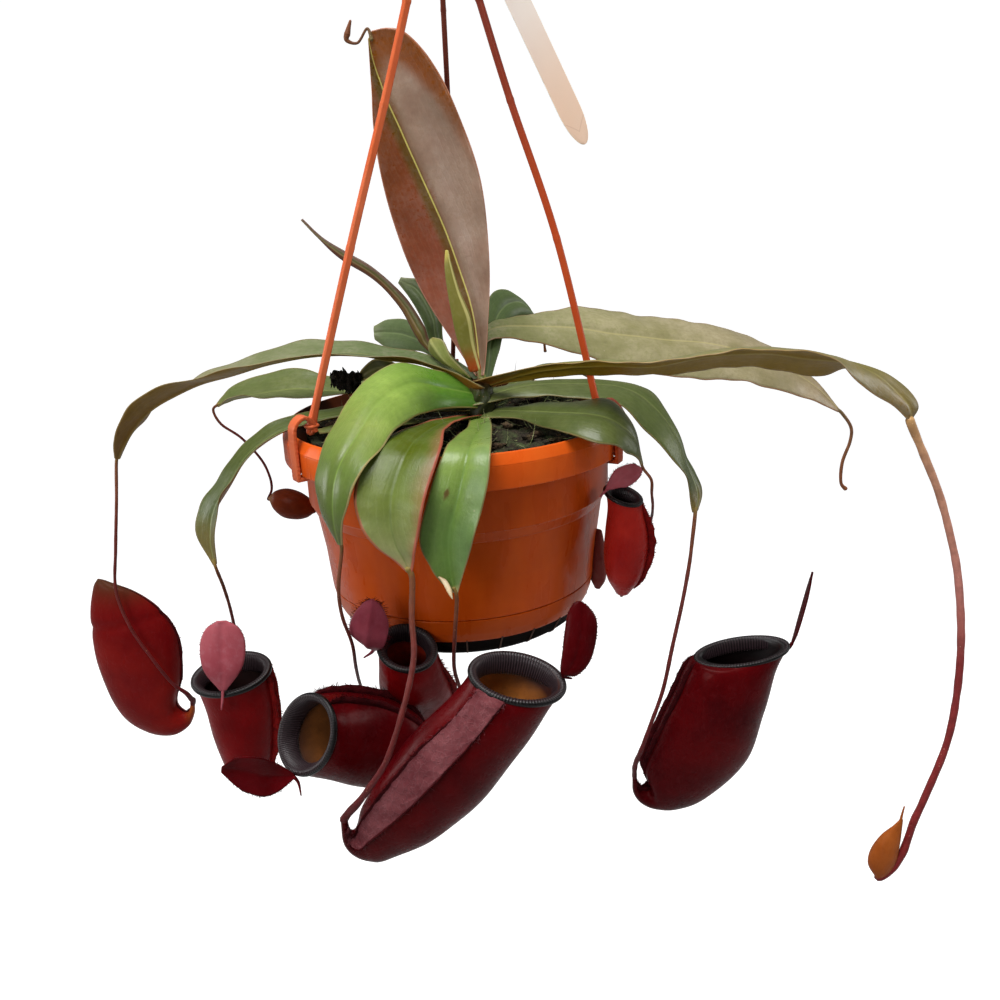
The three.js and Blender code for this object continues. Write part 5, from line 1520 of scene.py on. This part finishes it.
LEAF_LOOKS = {
    # painted light and shade: along the blade its green runs from dark at the foot, painted shade
    # near the crown, to a pale band at about a third of its length, a painted highlight over the
    # arch, and darker again towards the tip
    "bright": leaf_finish(
        "bright_green",
        ((0, "#3c6c1c"), (0.14, "#588828"), (0.3, "#94b050"), (0.46, "#88984a"), (0.62, "#5e6e32"),
         (1, "#525c2c")), "#64842c", rib=("#84a048", 0.5, 0.4), margin=("#b8a06c", 0.6, 0.7),
        roughness=0.32, coat=0.16),
    # painted shade: its dark, saturated yellow-green towards the foot stands in for shade there
    "flushed": leaf_finish(
        "flushed_green",
        ((0, "#3c4800"), (0.38, "#4e5c00"), (0.56, "#748034"), (0.8, "#8e9060"), (1, "#9c8660")),
        "#64783c", side=("#a0604c", 0.6, 0.72, 1.0), rib=("#5c6c30", 0.45, 0.5),
        margin=("#a8483c", 1.3, 0.75), roughness=0.36, spots=0.25, coat=0.08),
    "fresh": leaf_finish(
        "fresh_green",
        ((0, "#7c9440"), (0.35, "#88a04c"), (0.6, "#6c8a40"), (0.93, "#56702c"), (0.965, "#a8a064"),
         (1, "#e8d8b4")), "#44682e", side=("#8ca478", 0.3, 0.5, 0.9), rib=("#5c7c34", 0.5, 0.5),
        margin=("#90744c", 0.7, 0.6), roughness=0.3, spots=0.25, coat=0.16, scar=(0.3, 0.52)),
    "dull": leaf_finish(
        "dull_green",
        ((0, "#707838"), (0.3, "#647038"), (0.8, "#606a34"), (0.93, "#6c6c34"), (1, "#7c6430")),
        "#4c5c2a", rib=("#8c9454", 0.7, 0.45), margin=("#a08c5c", 0.5, 0.6), roughness=0.36,
        bloom_and_sheen=("#868a60", 0.35)),
    "long": leaf_finish(
        "long_green",
        ((0, "#48602e"), (0.22, "#5c7040"), (0.5, "#80845c"), (0.78, "#8c7c58"), (1, "#70562e")),
        "#5c6838", rib=("#98905c", 0.7, 0.45), margin=("#9c8458", 0.5, 0.6), roughness=0.38,
        spots=0.2, bloom_and_sheen=("#98947c", 0.45)),
    "deep": leaf_finish(
        "deep_green",
        ((0, "#5a6430"), (0.3, "#525e2c"), (0.8, "#4e582a"), (0.88, "#6c5e2e"), (1, "#8a7038")),
        "#3e4c20", rib=("#808a50", 0.7, 0.45), margin=("#8c7c50", 0.5, 0.6), roughness=0.34,
        coat=0.12, bloom_and_sheen=("#70764c", 0.3)),
    "greyed": leaf_finish(
        "greyed_green", ((0, "#747c38"), (0.35, "#80803e"), (0.8, "#88743e"), (1, "#886438")),
        "#646834", rib=("#a09458", 0.7, 0.45), margin=("#ac8658", 0.5, 0.6), patchiness=0.5,
        roughness=0.38, spots=0.2, bloom_and_sheen=("#98907a", 0.5)),
    "straw": leaf_finish(
        "straw_green",
        ((0, "#66783c"), (0.22, "#788450"), (0.45, "#989468"), (0.8, "#9c8c70"), (1, "#906c44")),
        "#74703c", rib=("#b8ac74", 0.7, 0.45), margin=("#b07c58", 0.5, 0.6), roughness=0.36,
        spots=0.2, coat=0.14, bloom_and_sheen=("#b4a888", 0.5)),
    "shaded": leaf_finish(
        "shaded_green", ((0, "#586c38"), (0.4, "#5c7040"), (0.8, "#6c7c50"), (1, "#848c64")),
        "#4a5a34", rib=("#98a870", 0.5, 0.3), margin=("#a8a478", 0.4, 0.4), roughness=0.4),
    "olive": leaf_finish(
        "olive_back", ((0, "#8a4c1c"), (0.1, "#8c6c14"), (0.5, "#8e7008"), (1, "#80602c")),
        "#746008", rib=("#a89448", 1.1, 0.5), margin=("#94703c", 0.5, 0.5), patchiness=0.3,
        roughness=0.5),
    # painted light: the grey-pink tint over the right half of the blade stands in for the sheen on
    # the half of the fold that faces the light
    "bronze": leaf_finish(
        "bronze_face",
        ((0, "#b8401c"), (0.06, "#9c6a4c"), (0.25, "#a06c5c"), (0.42, "#94503a"), (0.6, "#84421c"),
         (0.8, "#8a4a18"), (1, "#a0521c")), "#743414", side=("#b09884", 0.85, 0.47, 0.57),
        rib=("#d4c86c", 0.5, 0.9), margin=("#c88c74", 0.6, 0.7), patchiness=0.35, roughness=0.3,
        coat=0.16, bloom_and_sheen=("#b8a498", 0.14), halo=("#545008", 6.0, 0.75),
        tip=("#96500c", 0.74, 0.92, 0.34), ragged=0.05),
    "bronze_back": leaf_finish(
        "bronze_back", ((0, "#8c3c28"), (0.5, "#74382a"), (1, "#7c3e24")), "#5f3c28",
        rib=("#94603c", 1.0, 0.6), margin=("#a87462", 0.6, 0.6)),
    "folded": leaf_finish(
        "folded_leaf", ((0, "#74702c"), (0.5, "#6c4422"), (0.9, "#56341e"), (1, "#94824c")),
        "#542c1c", side=("#5c6434", 0.8, 0.4, 0.6), rib=("#94845c", 0.5, 0.5),
        margin=("#5c302c", 1.2, 0.7)),
    "pale": leaf_finish(
        "pale_back", ((0, "#8c9044"), (0.5, "#808840"), (1, "#848040")), "#707a38",
        rib=("#acac6c", 1.1, 0.5), margin=("#a0926c", 0.5, 0.5), roughness=0.5),
    "dark": leaf_finish(
        "dark_back", ((0, "#5f4f30"), (0.5, "#464c2c"), (1, "#4a3e26")), "#363c22",
        rib=("#6f6a42", 1.0, 0.5), margin=("#6f5038", 0.5, 0.5), roughness=0.5),
    "dying": leaf_finish(
        "dying_leaf", ((0, "#5c6830"), (0.7, "#6c6c34"), (0.88, "#4c3c1c"), (1, "#1c150f")),
        "#444a22", rib=("#8c8850", 0.8, 0.4), margin=("#b0a060", 1.0, 0.7), roughness=0.5),
}
# each blade's upper and under look
BLADE_LOOKS = {
    "tall_leaf": ("bronze", "bronze_back"), "right_long_leaf": ("greyed", "olive"),
    "right_broad_leaf": ("straw", "pale"), "left_long_leaf": ("long", "olive"),
    "back_left_leaf": ("dull", "pale"), "left_arched_leaf": ("deep", "olive"),
    "front_broad_leaf": ("bright", "pale"), "front_left_leaf": ("flushed", "pale"),
    "front_right_leaf": ("fresh", "pale"), "right_front_leaf": ("deep", "pale"),
    "right_bent_leaf": ("deep", "olive"), "upright_back_leaf": ("shaded", "pale"),
    "blunt_back_leaf": ("shaded", "pale"), "folded_leaf": ("folded", "folded"),
    "back_right_leaf": ("shaded", "dark"), "low_back_leaf": ("dull", "dark"),
    "curled_leaf": ("deep", "pale"), "side_leaf": ("dull", "dark"),
    "dying_leaf": ("dying", "dying"),
}


# the dry scrap at the tip of the front right leaf
SCRAP = {
    "left": [[-8.6, -80.5, -39.3], [-7.3, -81.5, -40.8], [-6.3, -82.5, -42.7], [-5.1, -83.4, -45],
        [-4.1, -83.6, -46.5]],
    "right": [[-7.9, -80.5, -39.1], [-5.8, -81.5, -40.1], [-4.6, -82.5, -42], [-4, -83.4, -43.9],
        [-3.8, -83.6, -46.5]],
}
SCRAP_LOOK = leaf_finish("dry_scrap", ((0, "#b89868"), (0.3, "#f0dcb8"), (1, "#e8d0a0")), "#c8a878",
                         rib=("#fff0d8", 0.3, 0.3), margin=("#a88850", 0.3, 0.5), roughness=0.6)


def make_blades():
    for k, (name, leaf) in enumerate(BLADES.items()):
        shape = Shape()
        blade(shape, leaf, 30 + 7 * k)
        looks = [LEAF_LOOKS[look] for look in BLADE_LOOKS[name]]
        if name == "front_right_leaf":
            blade(shape, SCRAP, 5, lanes=8, steps=24, thickness=0.5, ripple=1.2, slot=2)
            looks += [SCRAP_LOOK, SCRAP_LOOK]
        make(f"{name}_blade", shape, looks, [name])


RED_STALK = stalk_finish("red_tendril", ((0, "#8c7c3c"), (0.04, "#7c4a2c"), (0.25, "#6e2a22"),
                                         (0.75, "#641a1c"), (0.95, "#58080c"), (1, "#4c0609")))
THICK_STALK = stalk_finish("thick_tendril", ((0, "#c89c64"), (0.1, "#d8a080"), (0.34, "#cc8478"),
                                             (0.5, "#9a3434"), (1, "#7c1c1c")), fleck="#f0c8a8")
BROWN_STALK = stalk_finish("brown_tendril", ((0, "#8a7a50"), (0.2, "#7a5538"), (1, "#8a5030")))
STALK_LOOKS = {"right_long_tendril": THICK_STALK, "right_broad_tendril": BROWN_STALK,
               "tall_leaf_tendril": BROWN_STALK, "back_right_tendril": BROWN_STALK}


# the radii along a tendril as shares of its own, where they aren't the usual ones
TENDRIL_TAPERS = {"right_long_tendril": (1.1, 1.0, 0.95, 1.0, 1.0, 1.0, 1.05, 1.1, 1.15, 1.25),
                  "tall_leaf_tendril": (1, 0.8, 0.9, 1.9, 0.7)}
USUAL_TAPER = (1.15, *[1] * 12, 1.15, 1.5)
# a tendril that carries one of these swells on towards its base, by two more shares
SWELLS_TO = ("pitcher_left", "pitcher_middle", "pitcher_sideways")
SWELL_TAPER = (2.0, 2.6)
# the last radii of the tendrils that widen into a loop at the base of a pitcher
LOOP_RADII = {"front_left_tendril": [1.1, 1.2, 1.3, 1.4, 1.5, 1.5, 1.45],
              "right_bent_tendril": [0.9, 1.1, 1.1, 1.0, 0.9],
              "left_long_tendril": [0.9, 1.1, 1.2, 1.2, 1.1]}


def make_tendrils():
    for k, (name, plan) in enumerate(TENDRILS.items()):
        shape = Shape()
        taper = TENDRIL_TAPERS.get(name, USUAL_TAPER)
        if plan.get("to") in SWELLS_TO:
            taper += SWELL_TAPER
        radii = [plan["radius"] * share for share in taper]
        if name in LOOP_RADII:
            radii[-len(LOOP_RADII[name]):] = LOOP_RADII[name]
        stalk(shape, tendril_path(plan), radii, sides=14, steps=140, roughness=0.06, seed=60 + k)
        make(f"{name}_stalk", shape, [STALK_LOOKS.get(name, RED_STALK)], [name])


PITCHER_SKIN = flesh_finish("dark_pitcher", "#380206", "#5a0509", "#4c0c10", roughness=0.3)
DEEP_RED_PITCHER_SKIN = flesh_finish("deep_red_pitcher", "#5c0306", "#84080c", "#640c10")
RED_PITCHER_SKIN = flesh_finish("red_pitcher", "#8c1212", "#b82c22", "#981e1a", roughness=0.3)
CUP_SKIN = cup_finish("cup_inside", "#2c0e08", "#b46c2c", "#dc9c4e")
# painted shade: the dim and dark insides are darker copies of the cup's inside, for mouths whose
# insides lie in shade
SHADED_CUP_SKIN = cup_finish("shaded_cup_inside", "#140605", "#4c260c", "#8c5424")
RED_CUP_SKIN = cup_finish("red_cup_inside", "#3c0604", "#8c1810", "#b83418")
DEEP_SHADED_CUP_SKIN = cup_finish("deep_shaded_cup_inside", "#0c0405", "#1e0a0a", "#2c1210")
RIM_SKIN = rim_finish("ribbed_rim", "#080506", "#3a3032", "#3c2e32", "#988a86")
FRINGE = fringe_finish("fringe", "#2c080c", "#501418")
RED_FRINGE = fringe_finish("red_fringe", "#5c0a0c", "#8c1a18")
# painted highlight: the pale lines on this panel's wrinkles stand in for highlights on them
WING_SKIN = fringe_finish("broad_wing", "#58242a", "#7c464a", line="#a07074", line_strength=0.14,
                          patch_size=9.0, gleam=0.35)


# each pitcher's skin and the inside of its cup
PITCHER_LOOKS = {"pitcher_left": (DEEP_RED_PITCHER_SKIN, DEEP_SHADED_CUP_SKIN),
                 "pitcher_middle": (DEEP_RED_PITCHER_SKIN, RED_CUP_SKIN),
                 "pitcher_largest": (PITCHER_SKIN, CUP_SKIN),
                 "pitcher_sideways": (PITCHER_SKIN, SHADED_CUP_SKIN),
                 "pitcher_small_right": (RED_PITCHER_SKIN, DEEP_SHADED_CUP_SKIN),
                 "pitcher_right": (PITCHER_SKIN, DEEP_SHADED_CUP_SKIN)}


def make_pitchers():
    for k, (name, plan) in enumerate(PITCHERS.items()):
        shape = Shape()
        fringe = FRINGE if PITCHER_LOOKS[name][0] is PITCHER_SKIN else RED_FRINGE
        pitcher(shape, plan, 80 + k)
        for angle in plan["wings"]:
            wing(shape, plan, angle, 90 + k + angle, fringe=plan.get("fringe", (0.4, 1.3)))
        if name == "pitcher_largest":
            broad_wing(shape, plan)
        skin, cup = PITCHER_LOOKS[name]
        make(f"{name}_cup", shape, [skin, cup, RIM_SKIN, fringe, WING_SKIN], [name])


def broad_wing(shape, plan):
    """The wrinkled panel between the two wings up the front of the largest pitcher."""
    centre, side, front = sections(plan["stations"], np.linspace(0.06, 0.985, 110))
    lanes, count = 27, 90
    sheet = around(centre, side, front, np.linspace(*plan["wings"], lanes)[None])
    out = unit(sheet - centre[:, None])
    swell = 0.8 + 0.5 * np.abs(np.linspace(-1, 1, lanes))[None] ** 3 + 0.5 * waves(sheet, 4, 4)
    swell = swell + 0.25 * waves(sheet, 1.6, 5)
    rings = np.concatenate([sheet + out * swell[..., None], sheet[:, ::-1] - out[:, ::-1] * 0.8],
                           axis=1)
    shape.skin(rings, slots=4)
    rng = np.random.default_rng(15)
    for edge in (0, -1):
        root, away = sheet[:, edge], out[:, edge] + (0.8 if edge == 0 else -0.8) * unit(side)
        pick = rng.integers(0, len(root), count)
        directions = away[pick] + 0.4 * rng.normal(size=(count, 3))
        hairs(shape, root[pick], directions, rng.uniform(0.9, 3.0, count), 0.15, rng, slots=4)


LID_SKIN = flesh_finish("dark_lid", "#400408", "#640a10", "#54101a", roughness=0.4)
DEEP_LID_SKIN = flesh_finish("deep_lid", "#2c0204", "#4a0408", "#400a10", roughness=0.4, gleam=0.14)
PINK_LID_SKIN = flesh_finish("pink_lid", "#94404a", "#b05c64", "#b07880", roughness=0.42,
                             crease_strength=0.16)
MAROON_LID_SKIN = flesh_finish("maroon_lid", "#5c141e", "#944452", "#8c4a58", roughness=0.42,
                               crease_strength=0.16)
LID_LOOKS = {"pitcher_left_lid": PINK_LID_SKIN, "pitcher_middle_lid": MAROON_LID_SKIN,
             "pitcher_small_right_lid": PINK_LID_SKIN, "pitcher_largest_lid": DEEP_LID_SKIN,
             "pitcher_right_lid": DEEP_LID_SKIN}


def make_lids():
    for k, (name, lid) in enumerate(LIDS.items()):
        shape = Shape()
        top = blade(shape, lid, 120 + k, lanes=20, steps=44, thickness=0.9, ripple=0.6, crease=0.5)
        rng = np.random.default_rng(130 + k)
        left, middle, right = (top[3:, lane] for lane in (0, 10, -1))
        edges = np.concatenate([left, right])
        outward = np.concatenate([left - middle, right - middle])
        count, longest = (180, 2.4) if name == "pitcher_middle_lid" else (80, 0.9)
        pick = rng.integers(0, len(edges), count)
        directions = unit(outward[pick]) + 0.5 * rng.normal(size=(count, 3))
        hairs(shape, edges[pick], directions, rng.uniform(0.3, longest, count), 0.12, rng, slots=2)
        make_spur(shape, name, lid)
        skin = LID_LOOKS.get(name, LID_SKIN)
        make(f"{name}_blade", shape, [skin, skin, FRINGE], [name])


def make_spur(shape, name, lid):
    """The thin curved spur behind the hinge of a lid."""
    base = (np.array(lid["left"][0]) + lid["right"][0]) / 2
    ahead = unit((np.array(lid["left"][1]) + lid["right"][1]) / 2 - base)
    away = np.array(SPURS[name])
    points = [base + ahead * 0.8, base + away * 0.35 - ahead * 0.6, base + away]
    stalk(shape, points, [0.8, 0.6, 0.3], sides=10, steps=24, roughness=0.1, seed=3)


# where each spur ends, from the hinge
SPURS = {
    "pitcher_left_lid": (-1.2, -2.0, -7.5), "pitcher_middle_lid": (-4.5, -1.0, -3.0),
    "pitcher_largest_lid": (4.0, 2.0, -3.0), "pitcher_sideways_lid": (1.8, -2.0, -7.5),
    "pitcher_small_right_lid": (-3.0, 1.0, -3.5), "pitcher_right_lid": (-2.6, -1.0, -2.6),
}

POD_LOOKS = {
    "rolled_leaf": flesh_finish(
        "rolled_leaf", "#70702c", "#8a8444", "#a49c68", roughness=0.46, crease_strength=0.0,
        base="#b4401c", tip="#c8b860", stripe=(0.13, 0.05, "#ccc47c")),
    "closed_pitcher_left": flesh_finish(
        "closed_pitcher", "#640a0e", "#8c1c14", "#701a18", roughness=0.36, gradient=0.35,
        base="#a85824", tip="#3c3420"),
    "small_pod": flesh_finish(
        "small_pod", "#441610", "#783010", "#6c3420", roughness=0.42, base="#8c6440"),
    "tendril_bud": flesh_finish(
        "tendril_bud", "#884014", "#b4622a", "#a05a30", crease="#5a2a14", roughness=0.46,
        crease_strength=0.2),
    "flat_bud": flesh_finish("flat_bud", "#6c2a26", "#94544c", "#84504a", roughness=0.42),
}
BUD_SPUR = ((180.6, -46, -179.6), (181.1, -46, -175.1), (181.8, -46, -170.7))


def make_pods():
    for k, (name, plan) in enumerate(PODS.items()):
        shape = Shape()
        pod(shape, plan, 140 + k, seam=0.76 if name == "closed_pitcher_left" else None)
        if name == "closed_pitcher_left":
            wing(shape, {**plan, "wing_reach": 1.2}, 172, 151, fringe=(0.4, 1.0), slots=1)
        if name == "tendril_bud":
            stalk(shape, BUD_SPUR, [0.7, 0.5, 0.3], sides=10)
        make(f"{name}_skin", shape, [POD_LOOKS[name], FRINGE], [name])


def make_dried_tip():
    """The black, dried-up remains at the end of the dying leaf: crumpled shreds."""
    rng = np.random.default_rng(9)
    shape = Shape()
    stations = [[-38, 16, -38, 9, 9.4, 2], [-43, 18, -42, 8, 8, 3.6], [-47, 19, -46, 9, 7, 3.4],
                [-50, 16, -50, 13, 7, 1]]
    rows, columns, shreds = 30, 40, 70
    centre, side, front = sections(stations, np.linspace(0, 1, rows))
    angles = round_angles(columns, 360)[None]
    points = around(centre, side * 0.8, front * 0.8, angles)
    points = points + unit(points - centre[:, None]) * (3.2 * waves(points, 3.5, 8))[..., None]
    shape.skin(points)
    pick = rng.integers(0, rows, shreds)
    turn = rng.integers(0, columns, shreds)
    roots = points[pick, turn]
    directions = unit(roots - centre[pick]) + (0, 0, 0.2)
    hairs(shape, roots, directions, rng.uniform(0.6, 1.8, shreds), 0.5, rng)
    look = earth_finish("dried_remains", "#0c0a08", "#2a2119", "#1c1a12", 0.3)
    make("dried_tip_shreds", shape, [look], ["dried_tip"])


# ---- camera, stage and lights ----
def make_camera():
    """The photograph's view, by its tilt down, its turn to the right and its roll."""
    down, yaw, roll = (math.radians(angle) for angle in (CAMERA_DOWN, CAMERA_YAW, CAMERA_ROLL))
    ahead = Vector((math.sin(yaw) * math.cos(down), math.cos(yaw) * math.cos(down),
                    -math.sin(down)))
    level = Vector((math.cos(yaw), -math.sin(yaw), 0))
    rise = level.cross(ahead)
    right = level * math.cos(roll) + rise * math.sin(roll)
    up = rise * math.cos(roll) - level * math.sin(roll)
    lens = bpy.data.cameras.new("photo_camera")
    lens.lens, lens.sensor_width = LENS, SENSOR
    camera = bpy.data.objects.new("photo_camera", lens)
    turn = Matrix((right, up, -ahead)).transposed().to_4x4()
    camera.matrix_world = Matrix.Translation(Vector(CAMERA_AT) * MM) @ turn
    bpy.context.scene.collection.objects.link(camera)
    bpy.context.scene.camera = camera


def make_stage():
    """A pale floor that curves up into a round wall far behind and around."""
    shape = Shape()
    floor = FLOOR_HEIGHT / MM
    bend = np.radians(np.linspace(0, 90, 16))
    reach, curve, top, thick = 2400, 900, floor + 4200, 40
    wall = reach + curve
    outline = [(0.1, floor), (reach, floor)]
    outline += [(reach + curve * math.sin(a), floor + curve * (1 - math.cos(a))) for a in bend]
    outline += [(wall, top), (wall + thick, top), (wall + thick, floor - thick),
                (0.1, floor - thick)]
    lathe(shape, outline, steps=96)
    paper = plain_finish("pale_paper", "#c4c4c4", 0.9)
    as_object("pale_stage", shape, [paper], HOOK_SEAT)


def make_light(name, place, size, power):
    light = bpy.data.lights.new(name, "AREA")
    light.shape, light.size, light.energy = "DISK", size, power
    lamp = bpy.data.objects.new(name, light)
    lamp.location = place
    lamp.rotation_euler = (Vector(LIT_PLACE) - Vector(place)).to_track_quat("-Z", "Y").to_euler()
    bpy.context.scene.collection.objects.link(lamp)


def make_lights():
    """Four soft lamps and a pale sky, which is white where the camera sees it."""
    for name, (place, size, power) in LIGHTS.items():
        make_light(name, place, size, power)
    world = bpy.data.worlds.new("studio")
    bpy.context.scene.world = world
    world.use_nodes = True
    sky = Nodes(world.node_tree)
    background = world.node_tree.nodes["Background"]
    sky.put(background.inputs["Color"], "#ffffff")
    seen = sky.add("LightPath", output="Is Camera Ray")
    sky.put(background.inputs["Strength"], sky.times_plus(seen, 1 - SKY_STRENGTH, SKY_STRENGTH))
    bpy.context.scene.view_settings.view_transform = "Standard"


# ---- making ----
make_camera()
make_pot()
make_tray()
make_potting_mix()
make_hook()
for side, (azimuth, thickness) in ARMS.items():
    make_arm(side, azimuth, ARM_PLASTICS[side], thickness)
make_label()
make_stem()
make_blades()
make_tendrils()
make_pods()
make_pitchers()
make_lids()
make_dried_tip()
make_stage()
make_lights()
